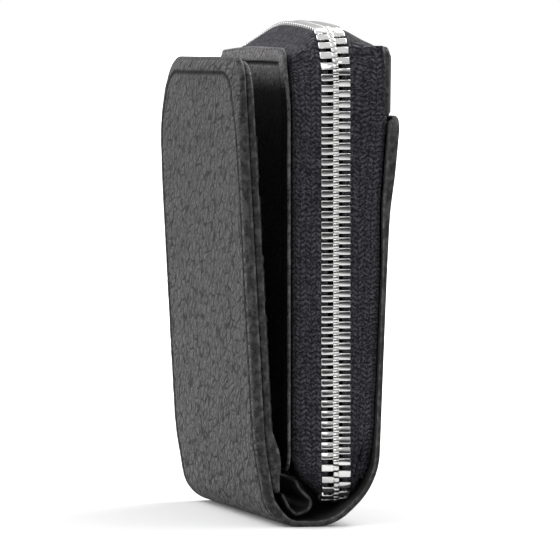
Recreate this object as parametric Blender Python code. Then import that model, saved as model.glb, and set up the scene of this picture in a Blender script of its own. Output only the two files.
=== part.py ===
"""Leather wallet with a zip coin pouch, standing on its folded spine.

X runs through the thickness: the flap is at -X and the rear slip pocket at +X.
Y runs along the spine, Z is up, and the origin is at the middle of the underside.
Sections are drawn with the lowest point of the spine at z = 0 and the zip's
centre plane at x = ZIP_X; the finished model is then centred over the origin.
"""
import math

import bmesh
import bpy
from mathutils import Matrix, Vector

MM = 0.001
CLEARANCE = 0.3 * MM

# Outer leather, one strip that runs down the flap, round the spine and up the back.
COVER_DEPTH = 88.0 * MM
COVER_LEATHER = 1.2 * MM
COVER_CORNER = 6.0 * MM
SPINE_FLAT_LEFT = -3.6 * MM
SPINE_FLAT_RIGHT = 1.9 * MM
SPINE_BEND = 7.6 * MM
SPINE_BEND_TURN = math.radians(80.0)

# Flap, measured along its outer leather from the fold.
FLAP_LENGTH = 88.0 * MM
FLAP_LEAN = math.radians(3.1)
FLAP_FOOT = 6.2 * MM
FLAP_FOOT_BEND = 60.0 * MM
FLAP_CURL = 3.4 * MM
FLAP_CURL_FADE = 6.5 * MM
FLAP_BOARD = 0.6 * MM
FLAP_BOARD_INSET = 2.5 * MM
CARD_PANEL = 1.2 * MM
CARD_PANEL_INSET = 0.6 * MM
CARD_POCKETS = 4
CARD_POCKET_STEP = 12.0 * MM
CARD_POCKET_TOP = 72.0 * MM
CARD_POCKET_FOOT = 8.0 * MM
CARD_POCKET_LEATHER = 0.6 * MM
CARD_POCKET_WIDTH = 74.0 * MM
CARD_POCKET_TUCK = 2.0 * MM
CARD_POCKET_RAMP = 0.25
FLAP_ROWS = [0.0, 0.07, 0.11, 0.15, 0.45, 0.78, 0.86, 0.915, 0.955, 0.98, 1.0]

# Back of the outer leather: a ramp under the pouch, a wall and a flared pocket mouth.
BACK_RAMP_BEND = 4.0 * MM
BACK_RAMP_TURN = math.radians(42.0)
BACK_RAMP = 4.8 * MM
BACK_WALL_BEND = 14.8 * MM
BACK_WALL_TURN = math.radians(45.7)
BACK_WALL = 45.6 * MM
BACK_FLARE_BEND = 70.0 * MM
BACK_FLARE_TURN = math.radians(6.0)
BACK_MOUTH_BEND = 60.0 * MM
BACK_MOUTH_TURN = math.radians(3.4)
BACK_MOUTH = 11.3 * MM
BACK_CORNER = 3.0 * MM

# Zip: its line runs up the near side, over the top and down the far side.
ZIP_X = 3.6 * MM
ZIP_HALF_DEPTH = 43.2 * MM
ZIP_TOP = 98.2 * MM
ZIP_BOTTOM = 6.8 * MM
ZIP_TOP_CORNER = 9.0 * MM
ZIP_BOTTOM_CORNER = 7.0 * MM
ZIP_TAIL = 3.0 * MM
TOP_CROWN = 2.0 * MM
TOP_CROWN_START = 49.0 * MM
TOP_CROWN_FADE = 44.0 * MM
TOP_FALL = 3.0 * MM
TOP_FALL_START = 3.0 * MM
TOP_FALL_FADE = 30.0 * MM
TOOTH_PITCH = 2.11 * MM
TOOTH_LENGTH = 1.25 * MM
TOOTH_THICKNESS = 2.4 * MM
TOOTH_REACH = 3.0 * MM
TOOTH_NOSE = 0.35 * MM
TOOTH_NOSE_LENGTH = 0.4 * MM
BEAD = 1.2 * MM
BEAD_FROM_CENTRE = 2.0 * MM
TAPE = 0.5 * MM
TAPE_SEAM = 7.0 * MM
TAPE_LIP = 0.6 * MM
TAPE_RIM = 0.4 * MM
# Tape's section from the panel's edge to its teeth: share of the way across, and share of the rise.
TAPE_STEPS = [(0.0, 0.0), (0.21, 0.36), (0.64, 0.64), (1.0, 1.0)]
CORNER_KEEP = 0.8 * MM

# Slider, parked low on the far side, and its pull.
SLIDER_Z = 24.0 * MM
SLIDER_LENGTH = 11.0 * MM
SLIDER_WIDTH = 8.2 * MM
SLIDER_TAIL_WIDTH = 7.4 * MM
SLIDER_PLATE = 0.8 * MM
SLIDER_FLANGE_DROP = 1.1 * MM
SLIDER_FLANGE_INSET = 2.0 * MM
SLIDER_CORNER = 1.6 * MM
BRIDGE_LENGTH = 6.4 * MM
BRIDGE_WIDTH = 1.8 * MM
BRIDGE_WALL = 0.9 * MM
BRIDGE_GAP = 1.8 * MM
PULL_PIN = 0.45 * MM
PULL_LINK_LENGTH = 8.6 * MM
PULL_LINK_WIDTH = 5.0 * MM
PULL_TAB_LENGTH = 10.5 * MM
PULL_TAB_WIDTH = 5.6 * MM
PULL_TAB_NECK = 2.6 * MM
PULL_TAB_SHOULDER = 0.8
PULL_TAB_TIP = 0.6
PULL_TAB_TIP_RISE = 1.8 * MM
PULL_TAB_THICKNESS = 1.0 * MM
PULL_BARREL_WALL = 0.5 * MM
STOP_LENGTH = 1.8 * MM
STOP_FROM_CENTRE = 0.5 * MM

# Coin pouch between the tapes.
POUCH_FRONT_X = -5.6 * MM
POUCH_BACK_X = 12.0 * MM
POUCH_LEATHER = 1.1 * MM
POUCH_LINING = 0.4 * MM
POUCH_FLARE = 1.3 * MM
POUCH_FLARE_START = 82.0 * MM
POUCH_BELLY = 2.4 * MM
POUCH_BELLY_START = 48.0 * MM
POUCH_BELLY_FADE = 38.0 * MM
POUCH_SET_BACK = 4.0 * MM
POUCH_BACK_SET_BACK = 1.6 * MM
POUCH_SQUEEZE = 0.55
POUCH_SQUEEZE_LOW = 10.0 * MM
POUCH_SQUEEZE_HIGH = 32.0 * MM
PANEL_ROWS = [0.0, 0.06, 0.12, 0.18, 0.42, 0.62, 0.84, 0.92, 1.0]
PANEL_CORNER_LEAST = 1.0 * MM
LINING_INSET = 7.0 * MM
FLOOR_LEVEL = 9.4 * MM
FLOOR_TURN = 1.6 * MM
FLOOR_TURN_CORNER = 0.5 * MM
FLOOR_RISE = 4.5 * MM

# Loop of lining in the fold: where it starts, then its runs and bends.
GUSSET = 0.6 * MM
GUSSET_INSET = 2.0 * MM
GUSSET_START = (-7.1 * MM, 6.5 * MM)
GUSSET_HEADING = math.radians(-64.0)
GUSSET_MOVES = [
    (1.8 * MM, 0.0, 0.0),
    (0.0, 4.5 * MM, math.radians(24.0)),
    (0.6 * MM, 0.0, 0.0),
    (0.0, 1.2 * MM, math.radians(60.0)),
    (1.2 * MM, 0.0, 0.0),
    (0.0, 2.2 * MM, math.radians(70.0)),
    (0.0, 2.0 * MM, math.radians(48.0)),
    (1.0 * MM, 0.0, 0.0),
    (0.0, 5.0 * MM, math.radians(-26.0)),
    (0.6 * MM, 0.0, 0.0),
]

COARSE_TURN = math.radians(24.0)
TAPE_TURN = math.radians(22.5)
TAPE_RUN = 14.0 * MM
BEAD_TURN = math.radians(15.0)
BEAD_RUN = 9.0 * MM
FINE_TURN = math.radians(12.0)
SHARP_EDGE = math.radians(35.0)

BLACK_LEATHER = ("black_leather", (0.020, 0.020, 0.021, 1.0), 0.48, 0.0)
INNER_LEATHER = ("inner_leather", (0.024, 0.023, 0.023, 1.0), 0.55, 0.0)
BLACK_FABRIC = ("black_fabric", (0.012, 0.012, 0.014, 1.0), 0.85, 0.0)
BOARD = ("board", (0.10, 0.09, 0.08, 1.0), 0.9, 0.0)
NICKEL = ("nickel", (0.72, 0.71, 0.69, 1.0), 0.22, 1.0)


def material(spec):
    """The named finish, made once."""
    name, colour, roughness, metallic = spec
    found = bpy.data.materials.get(name)
    if found:
        return found
    made = bpy.data.materials.new(name)
    made.use_nodes = True
    shader = made.node_tree.nodes["Principled BSDF"]
    shader.inputs["Base Color"].default_value = colour
    shader.inputs["Roughness"].default_value = roughness
    shader.inputs["Metallic"].default_value = metallic
    return made


def smooth(value):
    """0 below 0, 1 above 1 and an even S between."""
    value = min(max(value, 0.0), 1.0)
    return value * value * (3.0 - 2.0 * value)


def spread(low, high, count):
    """count + 1 even stations from low to high."""
    return [low + (high - low) * i / count for i in range(count + 1)]


def corner_stations(half, radius, steps=4, middle=2):
    """Stations across a panel, close together in its rounded corners."""
    inner = half - radius
    turns = [inner + radius * math.sin(math.pi / 2 * i / steps) for i in range(1, steps + 1)]
    straight = spread(-inner, inner, middle)
    return [-y for y in reversed(turns)] + straight + turns


def corner_drop(y, half, radius):
    """How far a panel's edge has dropped at y, in a corner of this radius."""
    beyond = abs(y) - (half - radius)
    if beyond <= 0.0:
        return 0.0
    return radius - math.sqrt(max(radius * radius - beyond * beyond, 0.0))


def add_object(name, shape, spec, parent):
    """A mesh or a curve in the wallet's collection, under its joint's empty."""
    thing = bpy.data.objects.new(name, shape)
    thing.data.materials.append(material(spec))
    bpy.data.collections["wallet"].objects.link(thing)
    thing.parent = parent
    thing.matrix_parent_inverse = Matrix.Translation(-parent.location)
    return thing


def face_outward(bm):
    """Turn every face of a closed mesh outward."""
    bmesh.ops.recalc_face_normals(bm, faces=bm.faces)
    if bm.calc_volume(signed=True) < 0:
        bmesh.ops.reverse_faces(bm, faces=bm.faces)


def add_sheet(name, spec, parent, across, along, place, thickness):
    """A closed sheet: a grid laid out by place(a, b, t), thickened from t = 0 to t = thickness."""
    mesh = bpy.data.meshes.new(name)
    bm = bmesh.new()
    bmesh.ops.create_grid(bm, x_segments=len(across) - 1, y_segments=len(along) - 1, size=0.5)
    face_up = {}
    for vert in bm.verts:
        column = round((vert.co.x + 0.5) * (len(across) - 1))
        row = round((vert.co.y + 0.5) * (len(along) - 1))
        face_up[vert] = (across[column], along[row])
    near = list(bm.verts)
    extruded = bmesh.ops.extrude_face_region(bm, geom=list(bm.faces))["geom"]
    far = [item for item in extruded if isinstance(item, bmesh.types.BMVert)]
    partner = {}
    for vert in far:
        partner[vert] = min(near, key=lambda other: (other.co - vert.co).length_squared)
    for vert in far:
        a, b = face_up[partner[vert]]
        vert.co = place(a, b, thickness)
    for vert in near:
        a, b = face_up[vert]
        vert.co = place(a, b, 0.0)
    face_outward(bm)
    bm.to_mesh(mesh)
    bm.free()
    mesh.shade_smooth()
    mesh.set_sharp_from_angle(angle=SHARP_EDGE)
    return add_object(name, mesh, spec, parent)


def trace(start, heading, moves, step=FINE_TURN):
    """Follow straight runs (length, 0, 0) and bends (0, radius, turn) in the XZ plane.

    Returns points as (x, z, heading). A positive turn is to the left.
    """
    x, z = start
    points = [(x, z, heading)]
    for length, radius, turn in moves:
        if radius == 0.0:
            x += length * math.cos(heading)
            z += length * math.sin(heading)
            points.append((x, z, heading))
            continue
        count = max(1, math.ceil(abs(turn) / step))
        for _ in range(count):
            part = turn / count
            chord = 2.0 * radius * math.sin(abs(part) / 2.0)
            x += chord * math.cos(heading + part / 2.0)
            z += chord * math.sin(heading + part / 2.0)
            heading += part
            points.append((x, z, heading))
    return points


def trim(points, gap):
    """Start a traced line this much later, so that it doesn't touch the piece before it."""
    x, z, heading = points[0]
    return [(x + gap * math.cos(heading), z + gap * math.sin(heading), heading)] + points[1:]


def run_lengths(points):
    """Distance along a traced line at each of its points."""
    lengths = [0.0]
    for (x0, z0, _), (x1, z1, _) in zip(points, points[1:]):
        lengths.append(lengths[-1] + math.hypot(x1 - x0, z1 - z0))
    return lengths


def on_line(points, distance):
    """The point and heading at a distance along a traced line."""
    lengths = run_lengths(points)
    for i in range(len(points) - 1):
        if distance <= lengths[i + 1] or i == len(points) - 2:
            share = (distance - lengths[i]) / (lengths[i + 1] - lengths[i])
            x0, z0, h0 = points[i]
            x1, z1, h1 = points[i + 1]
            return (x0 + (x1 - x0) * share, z0 + (z1 - z0) * share, h0 + (h1 - h0) * min(max(share, 0), 1))
    return points[-1]


def spine_left():
    """The underside from its flat to the flap's fold, on the outer leather."""
    return trace((SPINE_FLAT_LEFT, 0.0), math.pi, [(0.0, SPINE_BEND, -SPINE_BEND_TURN)], COARSE_TURN)


def flap_line():
    """The flap's outer leather from the fold up."""
    x, z, heading = spine_left()[-1]
    turn = math.pi / 2 - SPINE_BEND_TURN - FLAP_LEAN
    straight = FLAP_LENGTH - FLAP_FOOT - FLAP_FOOT_BEND * turn
    return trace((x, z), heading, [(FLAP_FOOT, 0.0, 0.0), (0.0, FLAP_FOOT_BEND, -turn), (straight, 0.0, 0.0)])


def back_line():
    """The outer leather from the end of the flat underside to the slip pocket's mouth."""
    return trace((SPINE_FLAT_RIGHT, 0.0), 0.0, [
        (0.0, BACK_RAMP_BEND, BACK_RAMP_TURN),
        (BACK_RAMP, 0.0, 0.0),
        (0.0, BACK_WALL_BEND, BACK_WALL_TURN),
        (BACK_WALL, 0.0, 0.0),
        (0.0, BACK_FLARE_BEND, -BACK_FLARE_TURN),
        (0.0, BACK_MOUTH_BEND, BACK_MOUTH_TURN),
        (BACK_MOUTH, 0.0, 0.0),
    ])


def flap_hinge():
    """The fold's axis, on the outer surface of the leather."""
    x, z, _ = spine_left()[-1]
    return Vector((x, 0.0, z))


def pouch_hinge():
    """The pouch's axis, on the outer surface of the leather just past the flat underside."""
    x, z, _ = back_hinge_point()
    return Vector((x, 0.0, z))


def back_hinge_point():
    """The first bend of the back line ends under the zip."""
    return on_line(back_line(), BACK_RAMP_BEND * BACK_RAMP_TURN)


def flap_place(half, corner, foot, top):
    """Where a layer of the flap lies: y across, share up the layer, and depth into the flap."""
    line = flap_line()

    def place(y, share, depth):
        end = top - corner_drop(y, half, corner)
        x, z, heading = on_line(line, foot + (end - foot) * share)
        inward = (math.sin(heading), -math.cos(heading))
        x += inward[0] * depth
        z += inward[1] * depth
        reach = smooth(y / (COVER_DEPTH / 2))
        rise = math.exp((z - line[-1][1]) / FLAP_CURL_FADE)
        return Vector((x + FLAP_CURL * reach * rise, y, z))

    return place


def layer(place, depth):
    """The same place, started at a depth."""
    return lambda a, b, t: place(a, b, depth + t)


def build_flap(body):
    """Outer leather, board, card panel and its shingled card pockets."""
    half = COVER_DEPTH / 2
    columns = corner_stations(half, COVER_CORNER, 4, 5)
    place = flap_place(half, COVER_CORNER, CLEARANCE / 2, FLAP_LENGTH)
    add_sheet("front_cover", BLACK_LEATHER, body, columns, FLAP_ROWS, place, COVER_LEATHER)

    depth = COVER_LEATHER + CLEARANCE
    board_half = half - FLAP_BOARD_INSET
    board_corner = COVER_CORNER - FLAP_BOARD_INSET
    place = flap_place(board_half, board_corner, FLAP_FOOT, FLAP_LENGTH - FLAP_BOARD_INSET)
    columns = corner_stations(board_half, board_corner, 2, 5)
    add_sheet("flap_board", BOARD, body, columns, FLAP_ROWS[1:], layer(place, depth), FLAP_BOARD)

    depth += FLAP_BOARD + CLEARANCE
    panel_half = half - CARD_PANEL_INSET
    panel_corner = COVER_CORNER - CARD_PANEL_INSET
    place = flap_place(panel_half, panel_corner, 2 * CLEARANCE, FLAP_LENGTH - CARD_PANEL_INSET)
    columns = corner_stations(panel_half, panel_corner, 3, 5)
    add_sheet("card_panel", INNER_LEATHER, body, columns, FLAP_ROWS, layer(place, depth), CARD_PANEL)

    depth += CARD_PANEL + CLEARANCE
    lift = CARD_POCKET_LEATHER + CLEARANCE
    for number in range(CARD_POCKETS):
        top = CARD_POCKET_TOP - number * CARD_POCKET_STEP
        last = number == CARD_POCKETS - 1
        foot = CARD_POCKET_FOOT if last else top - CARD_POCKET_STEP - CARD_POCKET_TUCK
        base = flap_place(CARD_POCKET_WIDTH, CARD_POCKET_WIDTH / 2, foot, top)
        tuck = (top - foot - CARD_POCKET_STEP) / (top - foot)

        def place(y, share, t, base=base, tuck=tuck, last=last):
            raised = 1.0 if last else min(max((share - tuck) / CARD_POCKET_RAMP, 0.0), 1.0)
            return base(y, share, depth + lift * raised + t)

        shares = spread(0.0, 1.0, 3) if last else [0.0, tuck, tuck + CARD_POCKET_RAMP, 1.0]
        across = spread(-CARD_POCKET_WIDTH / 2, CARD_POCKET_WIDTH / 2, 5)
        add_sheet(f"card_pocket_{number + 1}", INNER_LEATHER, body, across, shares, place, CARD_POCKET_LEATHER)


def contour_place(points):
    """Where a strip of the outer leather lies: y across, distance along, depth inward."""
    def place(y, distance, depth):
        x, z, heading = on_line(points, distance)
        return Vector((x - math.sin(heading) * depth, y, z + math.cos(heading) * depth))

    return place


def build_spine(body):
    """The folded underside of the outer leather and the loop of lining above it."""
    left = list(reversed([(x, z, heading - math.pi) for x, z, heading in spine_left()]))
    right = back_line()
    hinge = BACK_RAMP_BEND * BACK_RAMP_TURN
    lengths = run_lengths(right)
    bend = [point for point, length in zip(right, lengths) if length < hinge - CLEARANCE]
    x, z, heading = on_line(right, hinge - CLEARANCE / 2)
    points = trim(left, CLEARANCE / 2) + bend + [(x, z, heading)]
    half = COVER_DEPTH / 2
    add_sheet("spine_cover", BLACK_LEATHER, body, [-half, half], run_lengths(points),
              contour_place(points), COVER_LEATHER)

    loop = trace(GUSSET_START, GUSSET_HEADING, GUSSET_MOVES, COARSE_TURN)
    add_sheet("fold_gusset", INNER_LEATHER, body, [GUSSET_INSET - half, half - GUSSET_INSET],
              run_lengths(loop), contour_place(loop), GUSSET)


def build_back_cover(body):
    """The rear of the outer leather, which is the slip pocket's outer wall."""
    points = back_line()
    lengths = run_lengths(points)
    start = BACK_RAMP_BEND * BACK_RAMP_TURN + CLEARANCE / 2
    end = lengths[-1]
    stations = [start] + [length for length in lengths if start + CLEARANCE < length < end] + [end]
    at = contour_place(points)
    half = COVER_DEPTH / 2

    def place(y, distance, depth):
        share = smooth((distance / end - 0.5) * 2.0)
        return at(y, distance - corner_drop(y, half, BACK_CORNER) * share, depth)

    across = corner_stations(half, BACK_CORNER, 3, 3)
    add_sheet("back_cover", BLACK_LEATHER, body, across, stations, place, COVER_LEATHER)


def belly(z):
    """How far the pouch's back wall stands out at a height."""
    return POUCH_BELLY * smooth((z - POUCH_BELLY_START) / POUCH_BELLY_FADE)


def shape_pouch(x, y, z):
    """Give the pouch its crown, its flared lips and its narrow foot."""
    offset = x - ZIP_X
    crown = TOP_CROWN * max(0.0, 1.0 - (y / ZIP_HALF_DEPTH) ** 2)
    crown -= TOP_FALL * smooth((y - TOP_FALL_START) / TOP_FALL_FADE)
    crown *= smooth((z - TOP_CROWN_START) / TOP_CROWN_FADE)
    if offset < 0:
        reach = min(max(-offset - TOOTH_REACH, 0.0) / (ZIP_X - POUCH_FRONT_X - TOOTH_REACH), 1.0)
        offset -= reach * POUCH_FLARE * smooth((z - POUCH_FLARE_START) / (ZIP_TOP - POUCH_FLARE_START))
    if offset > TOOTH_REACH + CLEARANCE:
        squeeze = smooth((z - POUCH_SQUEEZE_LOW) / (POUCH_SQUEEZE_HIGH - POUCH_SQUEEZE_LOW))
        keep = POUCH_SQUEEZE + (1.0 - POUCH_SQUEEZE) * squeeze
        start = TOOTH_REACH + CLEARANCE
        full = offset - start
        offset = start + full * keep
        reach = min(full / (POUCH_BACK_X - ZIP_X - start), 1.0)
        offset += reach * belly(z)
    return Vector((ZIP_X + offset, y, z + crown))


def zip_line():
    """The zip's line as straight runs and corners: (kind, length, centre or start, angle)."""
    y = ZIP_HALF_DEPTH
    low, high = ZIP_BOTTOM, ZIP_TOP
    lower, upper = ZIP_BOTTOM_CORNER, ZIP_TOP_CORNER
    quarter = math.pi / 2
    return [
        ("run", ZIP_TAIL, (-y + lower + ZIP_TAIL, low), 2 * quarter),
        ("arc", lower * quarter, (-y + lower, low + lower), 3 * quarter, lower),
        ("run", high - upper - low - lower, (-y, low + lower), quarter),
        ("arc", upper * quarter, (-y + upper, high - upper), 2 * quarter, upper),
        ("run", 2 * (y - upper), (-y + upper, high), 0.0),
        ("arc", upper * quarter, (y - upper, high - upper), quarter, upper),
        ("run", high - upper - low - lower, (y, high - upper), 3 * quarter),
        ("arc", lower * quarter, (y - lower, low + lower), 0.0, lower),
        ("run", ZIP_TAIL, (y - lower, low), 2 * quarter),
    ]


def zip_length():
    """Length of the whole line."""
    return sum(part[1] for part in zip_line())


def zip_at(distance):
    """Place, travel direction and outward direction at a distance along the zip's line."""
    parts = zip_line()
    for number, part in enumerate(parts):
        if distance <= part[1] or number == len(parts) - 1:
            if part[0] == "run":
                direction = part[3]
                y = part[2][0] + math.cos(direction) * distance
                z = part[2][1] + math.sin(direction) * distance
                travel = Vector((0.0, math.cos(direction), math.sin(direction)))
            else:
                angle = part[3] - distance / part[4]
                y = part[2][0] + math.cos(angle) * part[4]
                z = part[2][1] + math.sin(angle) * part[4]
                travel = Vector((0.0, math.sin(angle), -math.cos(angle)))
            outward = Vector((0.0, -travel.z, travel.y))
            return Vector((0.0, y, z)), travel, outward
        distance -= part[1]
    return None


def zip_stations(start, end, turn=TAPE_TURN, run=TAPE_RUN):
    """Distances along the zip's line: close in the corners, wide on the straight."""
    stations = []
    begun = 0.0
    for part in zip_line():
        if part[0] == "run":
            horizontal = abs(math.cos(part[3])) > 0.5 and part[1] > 2 * ZIP_TAIL
            count = math.ceil(part[1] / run) if horizontal else max(1, round(part[1] / (2 * run)))
        else:
            count = math.ceil(part[1] / part[4] / turn)
        stations += [begun + part[1] * i / count for i in range(count)]
        begun += part[1]
    stations.append(begun)
    inner = [s for s in stations if start + CLEARANCE < s < end - CLEARANCE]
    return [start] + inner + [end]


def corner_room(distance):
    """How far in from the zip's line a strip reaches before its corner would pinch it."""
    begun = 0.0
    for part in zip_line():
        ended = begun + part[1]
        if part[0] == "arc" and begun - CLEARANCE < distance < ended + CLEARANCE:
            return part[4] - CORNER_KEEP
        begun = ended
    return math.inf


def zip_point(distance, x, outward_offset):
    """A point beside the zip's line, x from its centre plane and so far out from the line."""
    place, _, outward = zip_at(distance)
    at = place + outward * max(outward_offset, -corner_room(distance))
    return shape_pouch(ZIP_X + x, at.y, at.z)


def slider_distance():
    """Distance along the zip's line to the parked slider's middle."""
    parts = zip_line()
    before = sum(part[1] for part in parts[:6])
    return before + (ZIP_TOP - ZIP_TOP_CORNER - SLIDER_Z)


def build_teeth(name, body, side, start, end):
    """One row of metal teeth, each gripping the cord along the tape's edge."""
    mesh = bpy.data.meshes.new(name)
    bm = bmesh.new()
    stations = zip_stations(start, end, BEAD_TURN, BEAD_RUN)
    half = BEAD / 2
    section = [(-half, -half), (half, -half), (half, half), (-half, half)]
    rings = []
    for distance in stations:
        ring = [bm.verts.new(zip_point(distance, side * (BEAD_FROM_CENTRE + a), b)) for a, b in section]
        rings.append(ring)
    for first, second in zip(rings, rings[1:]):
        for i in range(4):
            bm.faces.new((first[i], first[(i + 1) % 4], second[(i + 1) % 4], second[i]))
    bm.faces.new(rings[0])
    bm.faces.new(rings[-1])
    face_outward(bm)
    bm.to_mesh(mesh)
    bm.free()
    cord = add_object(name, mesh, NICKEL, body)

    teeth_mesh = bpy.data.meshes.new(name + "_cutter")
    bm = bmesh.new()
    long = TOOTH_LENGTH / 2
    tip = TOOTH_NOSE_LENGTH / 2
    outline = [(-long, TOOTH_REACH), (long, TOOTH_REACH), (long, TOOTH_NOSE), (tip, -TOOTH_NOSE),
               (-tip, -TOOTH_NOSE), (-long, TOOTH_NOSE)]
    shift = TOOTH_PITCH / 4 * side
    count = int((end - start - TOOTH_LENGTH - TOOTH_PITCH / 2) / TOOTH_PITCH)
    first = math.ceil((start + TOOTH_LENGTH) / TOOTH_PITCH)
    for number in range(first, first + count):
        middle = number * TOOTH_PITCH + shift
        if middle + long > end - CLEARANCE:
            break
        lower = [bm.verts.new(zip_point(middle + a, side * b, -TOOTH_THICKNESS / 2)) for a, b in outline]
        upper = [bm.verts.new(zip_point(middle + a, side * b, TOOTH_THICKNESS / 2)) for a, b in outline]
        bm.faces.new(lower)
        bm.faces.new(upper)
        for i in range(len(outline)):
            j = (i + 1) % len(outline)
            bm.faces.new((lower[i], lower[j], upper[j], upper[i]))
    face_outward(bm)
    bm.to_mesh(teeth_mesh)
    bm.free()
    join(cord, [add_cutter(name + "_teeth", teeth_mesh, body)])
    return cord


def add_cutter(name, mesh, parent):
    """A hidden mesh that a union or a cut uses."""
    tool = bpy.data.objects.new(name, mesh)
    bpy.data.collections["cutters"].objects.link(tool)
    tool.parent = parent
    tool.matrix_parent_inverse = Matrix.Translation(-parent.location)
    tool.hide_render = True
    tool.display_type = "WIRE"
    return tool


def join(thing, others, operation="UNION"):
    """Add or cut away each of the others."""
    for other in others:
        step = thing.modifiers.new(other.name, "BOOLEAN")
        step.operation = operation
        step.object = other


def build_tape(name, body, side, edge_x, set_back, end):
    """A woven tape from under the pouch's leather edge out to its row of teeth."""
    wall = abs(edge_x - ZIP_X) - POUCH_LEATHER - CLEARANCE - TAPE / 2
    rim = TOOTH_REACH + CLEARANCE
    low = -set_back - TAPE_LIP
    section = [(wall, -set_back - TAPE_SEAM)]
    section += [(wall + (rim - wall) * share, low - (low + TAPE_RIM) * rise) for share, rise in TAPE_STEPS]
    normals = []
    for i, (x, n) in enumerate(section):
        x0, n0 = section[max(i - 1, 0)]
        x1, n1 = section[min(i + 1, len(section) - 1)]
        length = math.hypot(x1 - x0, n1 - n0)
        normals.append(((n1 - n0) / length, -(x1 - x0) / length))

    def place(distance, number, depth):
        x, n = section[number]
        nx, nn = normals[number]
        off = depth - TAPE / 2
        return zip_point(distance, side * (x + nx * off), n + nn * off)

    add_sheet(name, BLACK_FABRIC, body, zip_stations(0.0, end), list(range(len(section))), place, TAPE)


def pouch_panel(name, spec, body, outer_x, inset, thickness, inward, corner_steps=3):
    """A leather or lining wall of the pouch, inset from the zip's line."""
    half = ZIP_HALF_DEPTH - inset
    low, high = ZIP_BOTTOM + max(inset, POUCH_SET_BACK), ZIP_TOP - inset
    top_corner = max(ZIP_TOP_CORNER - inset, PANEL_CORNER_LEAST)
    low_corner = max(ZIP_BOTTOM_CORNER - inset, PANEL_CORNER_LEAST)
    columns = corner_stations(half, top_corner, corner_steps, 4)

    def place(y, share, depth):
        bottom = low + corner_drop(y, half, low_corner)
        top = high - corner_drop(y, half, top_corner)
        return shape_pouch(outer_x + inward * depth, y, bottom + (top - bottom) * share)

    add_sheet(name, spec, body, columns, PANEL_ROWS, place, thickness)


def build_pouch_half(body, side):
    """One wall of the pouch with its lining, tape, teeth and half of the floor."""
    word = "front" if side < 0 else "back"
    outer = POUCH_FRONT_X if side < 0 else POUCH_BACK_X
    set_back = POUCH_SET_BACK if side < 0 else POUCH_BACK_SET_BACK
    inward = -side
    whole = zip_length()
    slider = slider_distance()
    pouch_panel(f"pouch_{word}_panel", BLACK_LEATHER, body, outer, set_back, POUCH_LEATHER, inward)
    behind = POUCH_LEATHER + TAPE + 2 * CLEARANCE
    pouch_panel(f"pouch_{word}_lining", BLACK_FABRIC, body, outer + inward * behind,
                set_back + LINING_INSET, POUCH_LINING, inward, 1)
    build_tape(f"zip_tape_{word}", body, side, outer, set_back, whole)
    reach = SLIDER_LENGTH / 2
    teeth_end = slider + reach - CLEARANCE if side < 0 else slider - reach - CLEARANCE
    build_teeth(f"zip_teeth_{word}", body, side, STOP_LENGTH + CLEARANCE, teeth_end)

    wall = abs(outer - ZIP_X) - POUCH_LEATHER - CLEARANCE
    floor_half = ZIP_HALF_DEPTH - POUCH_SET_BACK - TAPE_SEAM - 2 * CLEARANCE
    level = FLOOR_LEVEL
    diagonal = math.sqrt(0.5)
    section = [
        (wall, level + FLOOR_RISE, 1.0, 0.0),
        (wall, level + FLOOR_TURN, 1.0, 0.0),
        (wall - FLOOR_TURN_CORNER, level + FLOOR_TURN_CORNER, diagonal, diagonal),
        (wall - FLOOR_TURN, level, 0.0, 1.0),
        (CLEARANCE / 2, level, 0.0, 1.0),
    ]

    def place(y, number, depth):
        x, z, inward_x, inward_z = section[number]
        return shape_pouch(ZIP_X + side * (x - inward_x * depth), y, z + inward_z * depth)

    add_sheet(f"pouch_floor_{word}", BLACK_FABRIC, body, spread(-floor_half, floor_half, 2),
              list(range(len(section))), place, TAPE)


def box_mesh(name, low, high):
    """A box between two corners."""
    mesh = bpy.data.meshes.new(name)
    bm = bmesh.new()
    bmesh.ops.create_cube(bm, size=1.0)
    for vert in bm.verts:
        vert.co = Vector([low[i] + (high[i] - low[i]) * (vert.co[i] + 0.5) for i in range(3)])
    bm.to_mesh(mesh)
    bm.free()
    return mesh


def plate_mesh(name, outline, y_low, y_high):
    """A flat outline in the XZ plane, thickened along Y."""
    curve = bpy.data.curves.new(name + "_outline", "CURVE")
    curve.dimensions = "2D"
    curve.fill_mode = "BOTH"
    curve.extrude = (y_high - y_low) / 2
    spline = curve.splines.new("POLY")
    spline.points.add(len(outline) - 1)
    for point, (x, z) in zip(spline.points, outline):
        point.co = (x, z, 0.0, 1.0)
    spline.use_cyclic_u = True
    holder = bpy.data.objects.new(name + "_outline", curve)
    bpy.context.scene.collection.objects.link(holder)
    bpy.context.view_layer.update()
    mesh = bpy.data.meshes.new_from_object(holder.evaluated_get(bpy.context.evaluated_depsgraph_get()))
    bpy.data.objects.remove(holder)
    bpy.data.curves.remove(curve)
    bm = bmesh.new()
    bm.from_mesh(mesh)
    bmesh.ops.remove_doubles(bm, verts=bm.verts, dist=0.01 * MM)
    turn = Matrix.Rotation(math.pi / 2, 4, "X")
    bmesh.ops.transform(bm, matrix=Matrix.Translation((0, (y_low + y_high) / 2, 0)) @ turn, verts=bm.verts)
    face_outward(bm)
    bm.to_mesh(mesh)
    bm.free()
    return mesh


def slider_outline(width, tail_width, length):
    """A slider plate from above: wide at its two mouths, narrow at its tail, round at the corners."""
    z = SLIDER_Z
    corner = SLIDER_CORNER
    right = []
    for angle in spread(-math.pi / 2, 0.0, 3):
        right.append((width / 2 - corner + corner * math.cos(angle), z - length / 2 + corner + corner * math.sin(angle)))
    right.append((width / 2, z))
    for angle in spread(0.0, math.pi / 2, 3):
        right.append((tail_width / 2 - corner + corner * math.cos(angle),
                      z + length / 2 - corner + corner * math.sin(angle)))
    left = [(-x, height) for x, height in reversed(right)]
    return [(ZIP_X + x, height) for x, height in right + left]


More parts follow.
